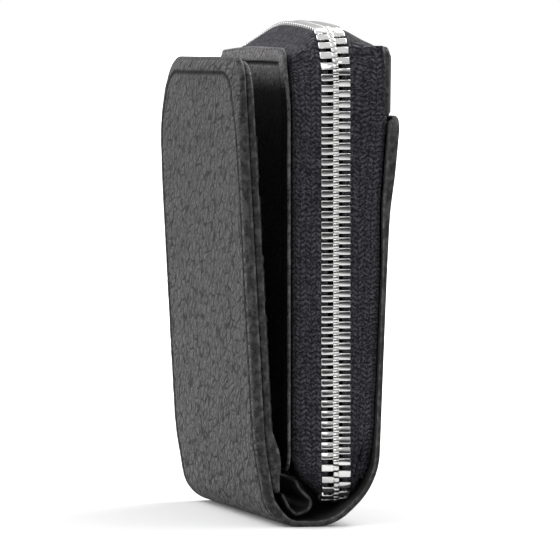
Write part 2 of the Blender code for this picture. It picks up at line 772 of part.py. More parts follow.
def build_slider(body, pull_body):
    """The slider's two plates, the bridge on the outer one, and the pull that hangs from it."""
    surface = ZIP_HALF_DEPTH + TOOTH_THICKNESS / 2 + CLEARANCE
    top = surface + SLIDER_PLATE
    outline = slider_outline(SLIDER_WIDTH, SLIDER_TAIL_WIDTH, SLIDER_LENGTH)
    plate = add_object("zip_slider", plate_mesh("zip_slider", outline, surface, top), NICKEL, body)
    extras = []
    for side in (-1, 1):
        inner = TOOTH_REACH + CLEARANCE
        outer = SLIDER_TAIL_WIDTH / 2
        xs = sorted((ZIP_X + side * inner, ZIP_X + side * outer))
        reach = SLIDER_LENGTH / 2 - SLIDER_FLANGE_INSET
        low = (xs[0], surface - SLIDER_FLANGE_DROP, SLIDER_Z - reach)
        high = (xs[1], surface + SLIDER_PLATE / 2, SLIDER_Z + reach)
        extras.append(add_cutter(f"flange_{side}", box_mesh(f"flange_{side}", low, high), body))
    beam_low = top + BRIDGE_GAP
    bridge_x = (ZIP_X - BRIDGE_WIDTH / 2, ZIP_X + BRIDGE_WIDTH / 2)
    low = (bridge_x[0], beam_low, SLIDER_Z - BRIDGE_LENGTH / 2)
    high = (bridge_x[1], beam_low + BRIDGE_WALL, SLIDER_Z + BRIDGE_LENGTH / 2)
    extras.append(add_cutter("bridge_beam", box_mesh("bridge_beam", low, high), body))
    for side in (-1, 1):
        zs = sorted((SLIDER_Z + side * BRIDGE_LENGTH / 2, SLIDER_Z + side * (BRIDGE_LENGTH / 2 - BRIDGE_WALL)))
        low = (bridge_x[0], top - SLIDER_PLATE / 2, zs[0])
        high = (bridge_x[1], beam_low + BRIDGE_WALL / 2, zs[1])
        extras.append(add_cutter(f"bridge_post_{side}", box_mesh(f"bridge_post_{side}", low, high), body))
    join(plate, extras)

    under = ZIP_HALF_DEPTH - TOOTH_THICKNESS / 2 - CLEARANCE
    inner_outline = slider_outline(2 * TOOTH_REACH, 2 * TOOTH_REACH - 2 * CLEARANCE, SLIDER_LENGTH - 1 * MM)
    add_object("zip_slider_inner_plate", plate_mesh("inner_plate", inner_outline, under - SLIDER_PLATE, under),
               NICKEL, body)

    pivot = pull_pivot()
    half = PULL_LINK_WIDTH / 2 - PULL_PIN
    foot = pivot.z - PULL_LINK_LENGTH + 2 * PULL_PIN
    curve = bpy.data.curves.new("pull_link", "CURVE")
    curve.dimensions = "3D"
    curve.bevel_depth = PULL_PIN
    curve.bevel_resolution = 1
    spline = curve.splines.new("POLY")
    corners = [(-half, pivot.z), (half, pivot.z), (half, foot), (-half, foot)]
    spline.points.add(len(corners) - 1)
    for point, (x, z) in zip(spline.points, corners):
        point.co = (ZIP_X + x, pivot.y, z, 1.0)
    spline.use_cyclic_u = True
    link = add_object("pull_link", curve, NICKEL, pull_body)
    build_pull_tab(pull_body, Vector((ZIP_X, pivot.y, foot)))
    return link


def rod_mesh(name, centre, radius, length, sides=16):
    """A round bar along X."""
    mesh = bpy.data.meshes.new(name)
    bm = bmesh.new()
    place = Matrix.Translation(centre) @ Matrix.Rotation(math.pi / 2, 4, "Y")
    bmesh.ops.create_cone(bm, cap_ends=True, segments=sides, radius1=radius, radius2=radius, depth=length,
                          matrix=place)
    bm.to_mesh(mesh)
    bm.free()
    return mesh


def build_pull_tab(body, bar):
    """A flat metal tab, rolled at its top round the link's lower bar."""
    barrel = PULL_PIN + CLEARANCE + PULL_BARREL_WALL
    neck = PULL_TAB_NECK / 2
    half = PULL_TAB_WIDTH / 2
    top = bar.z - PULL_PIN - CLEARANCE - PULL_BARREL_WALL / 2
    shoulder = bar.z - barrel - CLEARANCE
    low = shoulder - PULL_TAB_LENGTH
    right = [
        (half * PULL_TAB_TIP, low),
        (half, low + PULL_TAB_TIP_RISE),
        (half * PULL_TAB_SHOULDER, shoulder),
        (neck, shoulder),
        (neck, top),
    ]
    outline = [(ZIP_X + x, z) for x, z in right] + [(ZIP_X - x, z) for x, z in reversed(right)]
    mesh = plate_mesh("pull_tab", outline, bar.y - PULL_TAB_THICKNESS / 2, bar.y + PULL_TAB_THICKNESS / 2)
    tab = add_object("pull_tab", mesh, NICKEL, body)
    roll = add_cutter("pull_barrel", rod_mesh("pull_barrel", bar, barrel, PULL_TAB_NECK), body)
    join(tab, [roll])
    bore = add_cutter("pull_bore", rod_mesh("pull_bore", bar, PULL_PIN + CLEARANCE, 2 * PULL_TAB_NECK), body)
    join(tab, [bore], "DIFFERENCE")


def pull_pivot():
    """The pull's axis, under the slider's bridge."""
    y = ZIP_HALF_DEPTH + TOOTH_THICKNESS / 2 + CLEARANCE + SLIDER_PLATE + BRIDGE_GAP / 2
    return Vector((ZIP_X, y, SLIDER_Z))


def build_stops(root, back):
    """The bottom stop at the near end of the rows, and a top stop on each tape by the slider."""
    bottom = ZIP_BOTTOM
    y = -ZIP_HALF_DEPTH + ZIP_BOTTOM_CORNER + ZIP_TAIL
    half = TOOTH_REACH - CLEARANCE
    mesh = box_mesh("zip_bottom_stop", (ZIP_X - half, y - STOP_LENGTH, bottom - TOOTH_THICKNESS / 2),
                    (ZIP_X + half, y, bottom + TOOTH_THICKNESS / 2))
    add_object("zip_bottom_stop", mesh, NICKEL, root)
    for side, body, word in ((-1, root, "front"), (1, back, "back")):
        distance = slider_distance() + SLIDER_LENGTH / 2 + CLEARANCE
        corners = [zip_point(distance + a * STOP_LENGTH, side * x, n * TOOTH_THICKNESS / 2)
                   for a in (0, 1) for x in (STOP_FROM_CENTRE, TOOTH_REACH) for n in (-1, 1)]
        low = [min(corner[i] for corner in corners) for i in range(3)]
        high = [max(corner[i] for corner in corners) for i in range(3)]
        add_object(f"zip_top_stop_{word}", box_mesh(f"zip_top_stop_{word}", low, high), NICKEL, body)


def add_empty(name, place, parent):
    """A joint's axis."""
    empty = bpy.data.objects.new(name, None)
    bpy.data.collections["wallet"].objects.link(empty)
    empty.location = place
    if parent:
        empty.parent = parent
        empty.matrix_parent_inverse = Matrix.Translation(-parent.location)
    return empty


def centre_over_origin(root):
    """Move the whole wallet so that the middle of its underside is the origin."""
    bpy.context.view_layer.update()
    graph = bpy.context.evaluated_depsgraph_get()
    low = Vector((math.inf,) * 3)
    high = Vector((-math.inf,) * 3)
    for thing in bpy.data.collections["wallet"].objects:
        if thing.type == "EMPTY":
            continue
        solid = thing.evaluated_get(graph)
        for vert in solid.to_mesh().vertices:
            at = solid.matrix_world @ vert.co
            low = Vector(map(min, low, at))
            high = Vector(map(max, high, at))
        solid.to_mesh_clear()
    shift = Vector((-(low.x + high.x) / 2, -(low.y + high.y) / 2, -low.z))
    root.location += shift
    bpy.context.view_layer.update()
    print("size_mm", [round(v / MM, 2) for v in high - low])


def main():
    for thing in list(bpy.data.objects):
        bpy.data.objects.remove(thing)
    for name in ("wallet", "cutters"):
        made = bpy.data.collections.new(name)
        bpy.context.scene.collection.children.link(made)
    root = add_empty("spine_axis", Vector((0, 0, 0)), None)
    flap = add_empty("flap_axis", flap_hinge(), root)
    back = add_empty("pouch_axis", pouch_hinge(), root)
    slider = add_empty("slider_place", Vector((ZIP_X, ZIP_HALF_DEPTH, SLIDER_Z)), root)
    pull = add_empty("pull_axis", pull_pivot(), slider)
    bpy.context.view_layer.update()
    build_flap(flap)
    build_spine(root)
    build_back_cover(back)
    build_pouch_half(root, -1)
    build_pouch_half(back, 1)
    build_slider(slider, pull)
    build_stops(root, back)
    centre_over_origin(root)
    for empty in (flap, back, slider, pull):
        print(empty.name, [round(v / MM, 3) for v in empty.matrix_world.translation])


main()
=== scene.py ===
"""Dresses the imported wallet: leather, linings, woven tapes, a metal zip, thread and a white studio.

Lengths are in metres. Sheets are laid out over their real width and run, with their depth measured
inward from the outer face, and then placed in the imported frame.
"""
import math

import bmesh
import bpy
import numpy as np
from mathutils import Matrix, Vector, noise


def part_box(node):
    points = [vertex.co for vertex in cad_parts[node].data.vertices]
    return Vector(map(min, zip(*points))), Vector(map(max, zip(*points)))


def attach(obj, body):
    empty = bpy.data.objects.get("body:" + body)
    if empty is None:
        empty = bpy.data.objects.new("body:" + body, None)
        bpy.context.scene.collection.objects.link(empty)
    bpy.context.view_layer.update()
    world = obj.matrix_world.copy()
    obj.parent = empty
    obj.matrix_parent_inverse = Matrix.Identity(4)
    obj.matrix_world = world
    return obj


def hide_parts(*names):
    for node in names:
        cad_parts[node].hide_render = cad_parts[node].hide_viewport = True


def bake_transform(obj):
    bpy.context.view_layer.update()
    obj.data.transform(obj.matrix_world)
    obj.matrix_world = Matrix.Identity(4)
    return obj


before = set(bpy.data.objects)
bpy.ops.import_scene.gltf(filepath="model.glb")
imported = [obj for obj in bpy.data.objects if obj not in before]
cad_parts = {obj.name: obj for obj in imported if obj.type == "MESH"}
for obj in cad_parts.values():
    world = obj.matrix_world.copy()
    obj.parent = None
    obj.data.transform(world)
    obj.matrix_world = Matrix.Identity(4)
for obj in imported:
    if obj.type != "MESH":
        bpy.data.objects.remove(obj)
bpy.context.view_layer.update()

bl_info = {
    "name": "Zip Wallet Dresser",
    "version": (1, 0, 0),
    "blender": (4, 5, 0),
    "location": "View3D > Sidebar > Wallet",
    "description": "Builds the leather, linings, zip and thread of a standing zip wallet round its frame",
    "category": "Object",
}

MM = 0.001


def node_middle(node, axis):
    """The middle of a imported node's box along one axis."""
    low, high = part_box(node)
    return (low[axis] + high[axis]) / 2


def node_size(node, axis):
    """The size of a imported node's box along one axis."""
    low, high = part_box(node)
    return high[axis] - low[axis]


# Outer leather: one strip up the flap, round the spine and up the back.
COVER_HALF = node_size("back_cover", 1) / 2
COVER_LEATHER = 1.2 * MM
COVER_CORNER = 4.2 * MM
SPINE_MIDDLE = -0.85 * MM
SPINE_FLAT_LEFT = -3.6 * MM
SPINE_FLAT_RIGHT = 1.9 * MM
SPINE_BEND = 7.6 * MM
SPINE_TURN = math.radians(80.0)
FLAP_LENGTH = 88.0 * MM
FLAP_LEAN = math.radians(3.1)
FLAP_FOOT = 6.2 * MM
FLAP_FOOT_BEND = 60.0 * MM
FLAP_CURL = 3.4 * MM
FLAP_CURL_FADE = 6.5 * MM
BACK_MOVES = [
    (4.0 * MM, math.radians(42.0)),
    4.8 * MM,
    (14.8 * MM, math.radians(45.7)),
    45.6 * MM,
    (70.0 * MM, math.radians(-6.0)),
    (60.0 * MM, math.radians(3.4)),
    11.3 * MM,
]
SPINE_ROUNDING = 10.5 * MM
BACK_CORNER = 3.0 * MM
HEM_DEPTH = 34.0 * MM
HEM_WIDTH = 1.4 * MM
HEM_THICKNESS = 1.0 * MM
HEM_SWELL = 0.35 * MM
HEM_FADE = 0.8
FLAP_ROLL = 0.9 * MM
TURNED_WIDTH = 2.6 * MM
TURNED_LEATHER = 0.95 * MM
BORDER_CORNER = 6.5 * MM
BORDER_NARROW = 0.45
BORDER_SHIFT = 1.3 * MM
LEATHER_WAVE = 0.10 * MM
PEBBLE_HEIGHT = 0.06 * MM
FACE_FADE = 2.0 * MM
CREASE_WIDTH = 0.32 * MM

# Inside of the flap, by depth from its outer face.
PANEL_INSET = 0.6 * MM
PANEL_TOP_INSET = 0.9 * MM
PANEL_CORNER = 6.0 * MM
PANEL_DEPTH = 2.4 * MM
PANEL_LEATHER = 1.2 * MM
PANEL_RIM_WIDTH = 3.0 * MM
PANEL_RIM_OUT = 0.2 * MM
PANEL_RIM_IN = 0.1 * MM
PANEL_PADDING = 1.2 * MM
POCKETS = 4
POCKET_STEP = 12.0 * MM
POCKET_TOP = 72.0 * MM
POCKET_FOOT = 8.0 * MM
POCKET_LEATHER = 0.6 * MM
POCKET_WIDTH = 74.0 * MM
POCKET_TUCK = 2.0 * MM
POCKET_RAMP = 3.5 * MM
POCKET_GAP = 0.12 * MM
POCKET_SEAM = 1.6 * MM
GUSSET_LEATHER = 0.6 * MM
GUSSET_INSET = 2.3 * MM
GUSSET_START = (-7.1 * MM, 6.2 * MM)
GUSSET_HEADING = math.radians(-64.0)
GUSSET_MOVES = [
    2.2 * MM,
    (4.5 * MM, math.radians(24.0)),
    0.6 * MM,
    (1.2 * MM, math.radians(60.0)),
    1.2 * MM,
    (2.2 * MM, math.radians(70.0)),
    (2.0 * MM, math.radians(48.0)),
    1.0 * MM,
    (5.0 * MM, math.radians(-26.0)),
    0.6 * MM,
]

# Zip and pouch, in the section frame whose zip plane is at ZIP_PLANE.
ZIP_PLANE = 3.6 * MM
ZIP_HALF_DEPTH = 43.2 * MM
ZIP_TOP = 98.2 * MM
ZIP_BOTTOM = 6.8 * MM
ZIP_TOP_CORNER = 9.0 * MM
ZIP_BOTTOM_CORNER = 7.0 * MM
ZIP_TAIL = 3.0 * MM
TOP_CROWN = 2.0 * MM
TOP_CROWN_START = 49.0 * MM
TOP_CROWN_FADE = 44.0 * MM
TOP_FALL = 3.4 * MM
TOP_FALL_START = -10.0 * MM
TOP_FALL_FADE = 45.0 * MM
TOOTH_PITCH = 2.11 * MM
TOOTH_HALF_THICKNESS = 1.2 * MM
TOOTH_REACH = 3.0 * MM
TOOTH_TILT = math.radians(11.0)
TOOTH_BEVEL = 0.24 * MM
TOOTH_SWAY = 0.006 * MM
FIRST_TOOTH = 1.25 * MM
TOOTH_HALF_WIDTH = 0.7 * MM
DOME_SIZE = (0.62 * MM, 0.525 * MM, 0.46 * MM)
ZIP_MIDDLE = (ZIP_TOP + ZIP_BOTTOM) / 2
CORD_RADIUS = 0.62 * MM
CORD_FROM_CENTRE = 2.0 * MM
CORD_SIDES = 10
TAPE = 0.5 * MM
TAPE_SEAM = 7.0 * MM
TAPE_LIP = 0.6 * MM
TAPE_RIM = 0.4 * MM
TAPE_FREE = 8.0 * MM
TAPE_PUCKER = 0.10 * MM
TAPE_FINE_ENDS = 27.0 * MM
TOP_LIFT = 0.8 * MM
TOP_SINK = 0.6 * MM
TOP_LIFT_START = 88.0 * MM
TOP_LIFT_FADE = 8.0 * MM
TOP_LIFT_CLEAR = 2.4 * MM
SELVAGE_CLOTH = 0.4 * MM
SELVAGE_CORNERS = [(-5.2, -1.9), (-3.4, -1.15), (-2.0, -0.95), (-0.4, -0.9), (0.0, -1.7)]
SELVAGE_FREE = 81.0 * MM
SELVAGE_GAP = 0.4 * MM
SELVAGE_SHY = 0.7 * MM
SELVAGE_FOOT = 9.5 * MM
SELVAGE_TUCK = 3.0 * MM
SELVAGE_TUCK_START = 20.0 * MM
TAPE_STEPS = [(0.0, 0.0), (0.21, 0.36), (0.64, 0.64), (1.0, 1.0)]
TUCK_START, TUCK_END = (8.6 * MM, 18.6 * MM), (3.6 * MM, 8.2 * MM)
TUCK_TOP = 20.0 * MM
CORNER_KEEP = 0.8 * MM
POUCH_FRONT = -5.6 * MM
POUCH_BACK = 12.0 * MM
POUCH_LEATHER = 1.1 * MM
POUCH_LINING = 0.4 * MM
POUCH_FLARE = 1.3 * MM
POUCH_FLARE_START = 82.0 * MM
POUCH_BELLY = 2.4 * MM
POUCH_BELLY_START = 48.0 * MM
POUCH_BELLY_FADE = 38.0 * MM
WALL_FLATNESS = 0.9
BACK_FLARE = 1.4 * MM
BACK_FLARE_START = 80.8 * MM
BACK_FLARE_FADE = 2.2 * MM
FAR_FALL = 1.6 * MM
FAR_FALL_START = 23.0 * MM
FAR_FALL_FADE = 4.0 * MM
FAR_FALL_REACH = 0.6
POUCH_SQUEEZE = 0.55
POUCH_SQUEEZE_LOW = 10.0 * MM
POUCH_SQUEEZE_HIGH = 32.0 * MM
POUCH_SET_BACK = 4.0 * MM
POUCH_BACK_SET_BACK = 1.0 * MM
FRONT_TOP_SET_BACK = 2.4 * MM
BACK_TOP_SET_BACK = 2.1 * MM
PANEL_TOP_CORNER = 1.6 * MM
SHOULDER_REACH = 3.6 * MM
FOOT_LEAN = 1.3 * MM
FOOT_LEAN_FADE = 12.0 * MM
FOOT_SINK = 0.8
SEAM_CORNER = 1.2 * MM
LINING_INSET = 7.0 * MM
LINING_SLACK = 0.35 * MM
FLOOR_LEVEL = 9.4 * MM
FLOOR_TURN = 1.6 * MM
FLOOR_RISE = 4.5 * MM
FLOOR_INSET = 7.6 * MM
FLOOR_PLEAT = 0.5 * MM
GAP = 0.3 * MM

# Slider and pull, parked low on the far side.
SLIDER_Z = 24.0 * MM
SLIDER_LENGTH = 11.0 * MM
SLIDER_WIDTH = 8.2 * MM
SLIDER_TAIL_WIDTH = 7.4 * MM
SLIDER_PLATE = 0.8 * MM
SLIDER_CORNER = 1.6 * MM
SLIDER_FLANGE_DROP = 1.1 * MM
BRIDGE_LENGTH = 6.4 * MM
BRIDGE_WIDTH = 1.8 * MM
BRIDGE_WALL = 0.9 * MM
BRIDGE_GAP = 1.8 * MM
PULL_PIN = 0.45 * MM
PULL_LINK_LENGTH = 8.6 * MM
PULL_LINK_WIDTH = 5.0 * MM
PULL_LINK_CORNER = 0.9 * MM
PULL_TAB_LENGTH = 10.5 * MM
PULL_TAB_WIDTH = 5.6 * MM
PULL_TAB_NECK = 2.6 * MM
PULL_TAB_THICKNESS = 1.0 * MM
PULL_BARREL = 1.25 * MM
STOP_LENGTH = 1.8 * MM

# Sewing thread: the share of the pitch on each side of a stitch's middle, and the thread's sides.
STITCH_SHARE = 0.39
THREAD_SIDES = 8

# How the sheets are meshed. An open end counts as NO_END away, and a sheet without a rim as NO_RIM from it.
FINE_STEP = 0.25 * MM
RIM_BAND = 5.0 * MM
NO_END = 20.0 * MM
NO_RIM = 9.0 * MM

# Finishes of a sheet's outer face, inner face and rim.
OUTER_FINISHES = ["outer_leather", "inner_leather", "edge_paint"]
INNER_FINISHES = ["inner_leather", "inner_leather", "edge_paint"]
# Pouch front: painted highlight on its top band, painted shade below it behind the flap, and a paler rim.
POUCH_FRONT_FINISHES = ["pouch_leather_painted_light", "inner_leather", "lit_edge_paint"]
LINING_FINISHES = ["lining_cloth"] * 3
TAPE_FINISHES = ["tape_weave"] * 3

# Studio light levels, the ways to the tent's opening and its bright side, and the camera with its angles in
# degrees.
FLOOR_GLOW = 0.06
FLOOR_BOUNCE = 0.85
FLOOR_NEAR = 0.15
TENT_LOW = 0.5
TENT_HIGH = 0.85
TENT_LEFT = 0.95
OPENING_WAY = (-0.15, -0.988, 0.0)
BRIGHT_WAY = (-0.93, 0.1, 0.35)
CAMERA_PLACE = (-0.2945, -1.4555, 0.0965)
CAMERA_LENS = 463.0
CAMERA_DIP = 1.87
CAMERA_TURN = 11.5

# Each lamp's place, what it faces, its size and its power in watts.
LAMPS = {
    "left_softbox": ((-0.50, 0.35, 0.50), (-0.01, 0.0, 0.08), (0.5, 0.6), 0.3),
    "near_softbox": ((-0.20, 0.10, 0.28), (-0.01, 0.0, 0.09), (0.2, 0.2), 0.3),
    "rear_softbox": ((0.62, 0.40, 0.90), (0.0, 0.0, 0.05), (0.9, 0.7), 12.0),
    "front_softbox": ((-0.18, -1.10, 0.48), (0.0, 0.0, 0.05), (0.8, 0.36), 1.4),
}

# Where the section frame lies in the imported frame.
SHIFT = Vector((node_middle("zip_bottom_stop", 0) - ZIP_PLANE, node_middle("pouch_front_panel", 1), 0.0))


def length_setting(label, description, default, low=0.0):
    """A length that a user can change, with its default and least value in millimetres."""
    return bpy.props.FloatProperty(
        name=label, description=description, default=default * MM, min=low * MM, unit="LENGTH")


def colour_setting(label, description, default):
    """A colour that a user can change."""
    return bpy.props.FloatVectorProperty(
        name=label, description=description, default=default, min=0.0, max=1.0, subtype="COLOR")


class WalletSizes(bpy.types.PropertyGroup):
    """Fine sizes of the leather, the weave and the thread."""

    crease_inset: length_setting("Crease inset", "Distance of the border crease from a leather edge", 2.6)
    crease_depth: length_setting("Crease depth", "Depth of the border crease", 0.36)
    border_swell: length_setting("Border swell", "How far the turned border stands proud", 0.08)
    grain_cell: length_setting("Grain cell", "Size of one pebble of the outer leather's grain", 2.2, 0.1)
    grain_depth: length_setting("Grain depth", "Depth of the outer leather's grain", 0.70)
    weave_pitch: length_setting("Weave pitch", "Spacing of the herringbone ribs on the zip tapes", 1.05, 0.05)
    weave_column: length_setting("Weave column", "Width of one herringbone column", 1.2, 0.05)
    stitch_pitch: length_setting("Stitch pitch", "Distance from one stitch to the next", 2.9, 0.5)
    stitch_thread: length_setting("Thread", "Thickness of the sewing thread", 0.42, 0.05)


class WalletColours(bpy.types.PropertyGroup):
    """Colours of the finishes."""

    outer_leather: colour_setting("Outer leather", "Colour of the pebbled outer leather", (0.06, 0.06, 0.062))
    inner_leather: colour_setting("Inner leather", "Colour of the smooth inner leather",
                                  (0.018, 0.0175, 0.018))
    edge_paint: colour_setting("Edge paint", "Colour of the painted leather edges", (0.014, 0.0137, 0.0137))
    lining: colour_setting("Lining", "Colour of the lining cloth", (0.005, 0.005, 0.006))
    tape: colour_setting("Zip tape", "Colour of the woven zip tapes", (0.026, 0.025, 0.030))
    metal: colour_setting("Zip metal", "Colour of the polished zip", (0.78, 0.77, 0.74))
    thread: colour_setting("Thread", "Colour of the sewing thread", (0.009, 0.009, 0.009))
    studio: colour_setting("Studio", "Colour of the floor and the backdrop", (0.83, 0.83, 0.83))


def sizes():
    """The sizes that a user can change."""
    return bpy.context.scene.wallet_sizes


def colours():
    """The colours that a user can change."""
    return bpy.context.scene.wallet_colours


def smooth(value):
    """0 below 0, 1 above 1 and an even S between, on numbers or arrays."""
    value = np.clip(value, 0.0, 1.0)
    return value * value * (3.0 - 2.0 * value)


def bell(value, width):
    """1 at 0, falling to nothing on both sides."""
    return np.exp(-(value / width) ** 2)


class Section:
    """A line of straight runs, each a length, and bends, each a radius and a turn, read by distance."""

    def __init__(self, start, heading, moves, step=math.radians(3.0), beyond=4.0 * MM):
        a, b = start
        points = [(a - beyond * math.cos(heading), b - beyond * math.sin(heading), heading), (a, b, heading)]
        distances = [-beyond, 0.0]
        self.bends = []
        for move in moves:
            radius, turn = move if isinstance(move, tuple) else (0.0, 0.0)
            count = max(2, math.ceil(abs(turn) / step)) if radius else 1
            part = turn / count
            chord = 2.0 * radius * math.sin(abs(part) / 2.0) if radius else move
            begun = distances[-1]
            for _ in range(count):
                a += chord * math.cos(heading + part / 2.0)
                b += chord * math.sin(heading + part / 2.0)
                heading += part
                distances.append(distances[-1] + (radius * abs(part) if radius else move))
                points.append((a, b, heading))
            if radius:
                self.bends.append((begun, distances[-1], radius))
        self.length = distances[-1]
        points.append((a + beyond * math.cos(heading), b + beyond * math.sin(heading), heading))
        distances.append(self.length + beyond)
        self.distances = np.array(distances)
        self.points = np.array(points)

    def at(self, distance):
        """Both coordinates and the heading at each distance."""
        return [np.interp(distance, self.distances, self.points[:, i]) for i in range(3)]

    def beside(self, distance, depth):
        """Both coordinates of points so far to the left of the line."""
        a, b, heading = self.at(distance)
        return a - np.sin(heading) * depth, b + np.cos(heading) * depth


def mirrored(half, middle):
    """The moves of a line whose second half repeats the first one backwards."""
    return [*half, middle, *half[::-1]]


def round_loop(start, half, height, corners, turn, step=math.radians(3.0)):
    """A closed rectangle with round corners, from the middle of one end."""
    near, far = corners
    return Section(start, 0.0, mirrored([half - near, (near, turn), height - near - far, (far, turn)],
                                        2 * (half - far)), step)


def framed(x, y, z):
    """Section-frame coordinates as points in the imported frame."""
    x, y, z = np.broadcast_arrays(x, y, z)
    return np.stack([x + SHIFT.x, y + SHIFT.y, z + SHIFT.z], axis=-1)


def front_line():
    """The outer leather from the middle of the spine round the fold and up the flap."""
    turn = math.pi / 2 - SPINE_TURN - FLAP_LEAN
    straight = FLAP_LENGTH - FLAP_FOOT - FLAP_FOOT_BEND * turn
    return Section((SPINE_MIDDLE, 0.0), math.pi, [SPINE_MIDDLE - SPINE_FLAT_LEFT, (SPINE_BEND, -SPINE_TURN),
                                                  FLAP_FOOT, (FLAP_FOOT_BEND, -turn), straight])


def back_line():
    """The outer leather from the middle of the spine under the pouch and up to the slip pocket's mouth."""
    radius, turn = BACK_MOVES[0]
    eased = (SPINE_ROUNDING - radius) * math.tan(turn / 2)
    return Section((SPINE_MIDDLE, 0.0), 0.0, [SPINE_FLAT_RIGHT - SPINE_MIDDLE - eased, (SPINE_ROUNDING, turn),
                                              BACK_MOVES[1] - eased] + BACK_MOVES[2:])


def front_place(y, along, depth):
    """A point of the front leather or of a layer inside the flap."""
    x, z = FRONT_LINE.beside(along, -depth)
    curl = FLAP_CURL * smooth(y / COVER_HALF) * np.exp((z - FRONT_LINE.points[-2, 1]) / FLAP_CURL_FADE)
    return framed(x + curl, y, z)


def back_place(y, along, depth):
    """A point of the rear leather."""
    x, z = BACK_LINE.beside(along, depth)
    return framed(x, y, z)


def belly(z):
    """How far the pouch's back wall stands out at a height."""
    return POUCH_BELLY * smooth((z - POUCH_BELLY_START) / POUCH_BELLY_FADE)


def shape_pouch(x, y, z):
    """Give the pouch its crown, its flared front lip, its belly and its narrow foot."""
    x, y, z = np.broadcast_arrays(x, y, z)
    offset = x - ZIP_PLANE
    high = smooth((z - TOP_CROWN_START) / TOP_CROWN_FADE)
    crown = TOP_CROWN * np.clip(1.0 - (y / ZIP_HALF_DEPTH) ** 2, 0.0, None)
    crown = (crown - TOP_FALL * smooth((y - TOP_FALL_START) / TOP_FALL_FADE)) * high
    wall = np.where(offset > 0.0, POUCH_BACK - ZIP_PLANE, ZIP_PLANE - POUCH_FRONT)
    beside = np.clip((np.abs(offset) - TOOTH_REACH) / (wall - TOOTH_REACH), 0.0, 1.0)
    crown = crown * (1.0 - WALL_FLATNESS * beside)
    reach = np.clip((-offset - TOOTH_REACH) / (ZIP_PLANE - POUCH_FRONT - TOOTH_REACH), 0.0, 1.0)
    fall = FAR_FALL * smooth((y - FAR_FALL_START) / FAR_FALL_FADE) * high
    crown = crown - fall * smooth(reach / FAR_FALL_REACH)
    flare = reach * POUCH_FLARE * smooth((z - POUCH_FLARE_START) / (ZIP_TOP - POUCH_FLARE_START))
    start = TOOTH_REACH + GAP
    full = np.clip(offset - start, 0.0, None)
    squeeze = smooth((z - POUCH_SQUEEZE_LOW) / (POUCH_SQUEEZE_HIGH - POUCH_SQUEEZE_LOW))
    keep = POUCH_SQUEEZE + (1.0 - POUCH_SQUEEZE) * squeeze
    reach = np.clip(full / (POUCH_BACK - ZIP_PLANE - start), 0.0, 1.0)
    lip = BACK_FLARE * smooth((z - BACK_FLARE_START) / BACK_FLARE_FADE)
    back = np.where(offset > start, full * (keep - 1.0) + reach * (belly(z) + lip), 0.0)
    return framed(ZIP_PLANE + offset - flare + back, y, z + crown)


def zip_section():
    """The zip's line in the YZ plane, from its near tail over the top to its far tail."""
    wall = ZIP_TOP - ZIP_TOP_CORNER - ZIP_BOTTOM - ZIP_BOTTOM_CORNER
    half = [ZIP_TAIL, (ZIP_BOTTOM_CORNER, -math.pi / 2), wall, (ZIP_TOP_CORNER, -math.pi / 2)]
    return Section((-ZIP_HALF_DEPTH + ZIP_BOTTOM_CORNER + ZIP_TAIL, ZIP_BOTTOM), math.pi,
                   mirrored(half, 2 * (ZIP_HALF_DEPTH - ZIP_TOP_CORNER)))


def foot_lean(distance):
    """How far the near foot of the zip leans towards the back as it turns under."""
    under = np.clip(ZIP_LINE.bends[0][1] - distance, 0.0, None)
    return FOOT_LEAN * smooth(under / FOOT_LEAN_FADE)


def shoulder_fill(distance, x, out):
    """How far the tape fills out the zip's round top corners, towards the squarer corners of the walls."""
    fill = np.zeros(np.broadcast_shapes(np.shape(distance), np.shape(x)))
    share = smooth((np.abs(x) - TOOTH_REACH - GAP) / SHOULDER_REACH)
    for begun, ended, radius in ZIP_LINE.bends[1:3]:
        angle = np.clip((distance - begun) / (ended - begun), 0.0, 1.0) * math.pi / 2
        square = 1.0 / np.maximum(np.cos(angle), np.sin(angle)) - 1.0
        fill = fill + np.clip(radius + out - PANEL_TOP_CORNER, 0.0, None) * square * share
    return fill


def zip_place(distance, x, out):
    """A point beside the zip's line: x from its plane and so far out from the line."""
    y, z = ZIP_LINE.beside(distance, out + shoulder_fill(distance, x, out))
    lean = foot_lean(distance)
    return shape_pouch(ZIP_PLANE + x + lean, y, z - FOOT_SINK * lean)


def zip_room(distance):
    """How far in from the zip's line the tape can be sewn, with its corners mitred."""
    room = np.full(np.shape(distance), 1.0)
    for begun, ended, radius in ZIP_LINE.bends:
        away = np.maximum(np.maximum(begun - distance, distance - ended), 0.0)
        room = np.minimum(room, radius - CORNER_KEEP + away)
    return room


FRONT_LINE = front_line()
BACK_LINE = back_line()
ZIP_LINE = zip_section()
SLIDER_DISTANCE = ZIP_LINE.bends[2][1] + ZIP_TOP - ZIP_TOP_CORNER - SLIDER_Z


def stations(low, high, coarse, fine=None, fine_low=0.0, fine_high=0.0):
    """Stations from low to high: fine steps in a band at either end and coarse ones between."""
    fine = fine or coarse
    cuts = [low, low + fine_low, high - fine_high, high]
    steps = [fine, coarse, fine]
    found = [low]
    for begin, end, step in zip(cuts, cuts[1:], steps):
        if end - begin > 1e-9:
            count = max(1, math.ceil((end - begin) / step))
            found += list(np.linspace(begin, end, count + 1)[1:])
    return np.array(found)


def corner_columns(half, corner, coarse, steps=18):
    """Stations across a sheet with round corners, drawn together towards its sides."""
    turns = half - corner + corner * np.sin(np.linspace(0.0, math.pi / 2, steps + 1))[1:]
    middle = stations(corner - half, half - corner, coarse)
    return np.concatenate([-turns[::-1], middle, turns])


def corner_drop(y, half, corner):
    """How far a sheet's end has dropped at y, in a corner of this radius."""
    beyond = np.clip(np.abs(y) - (half - corner), 0.0, corner)
    return corner - np.sqrt(corner * corner - beyond * beyond)


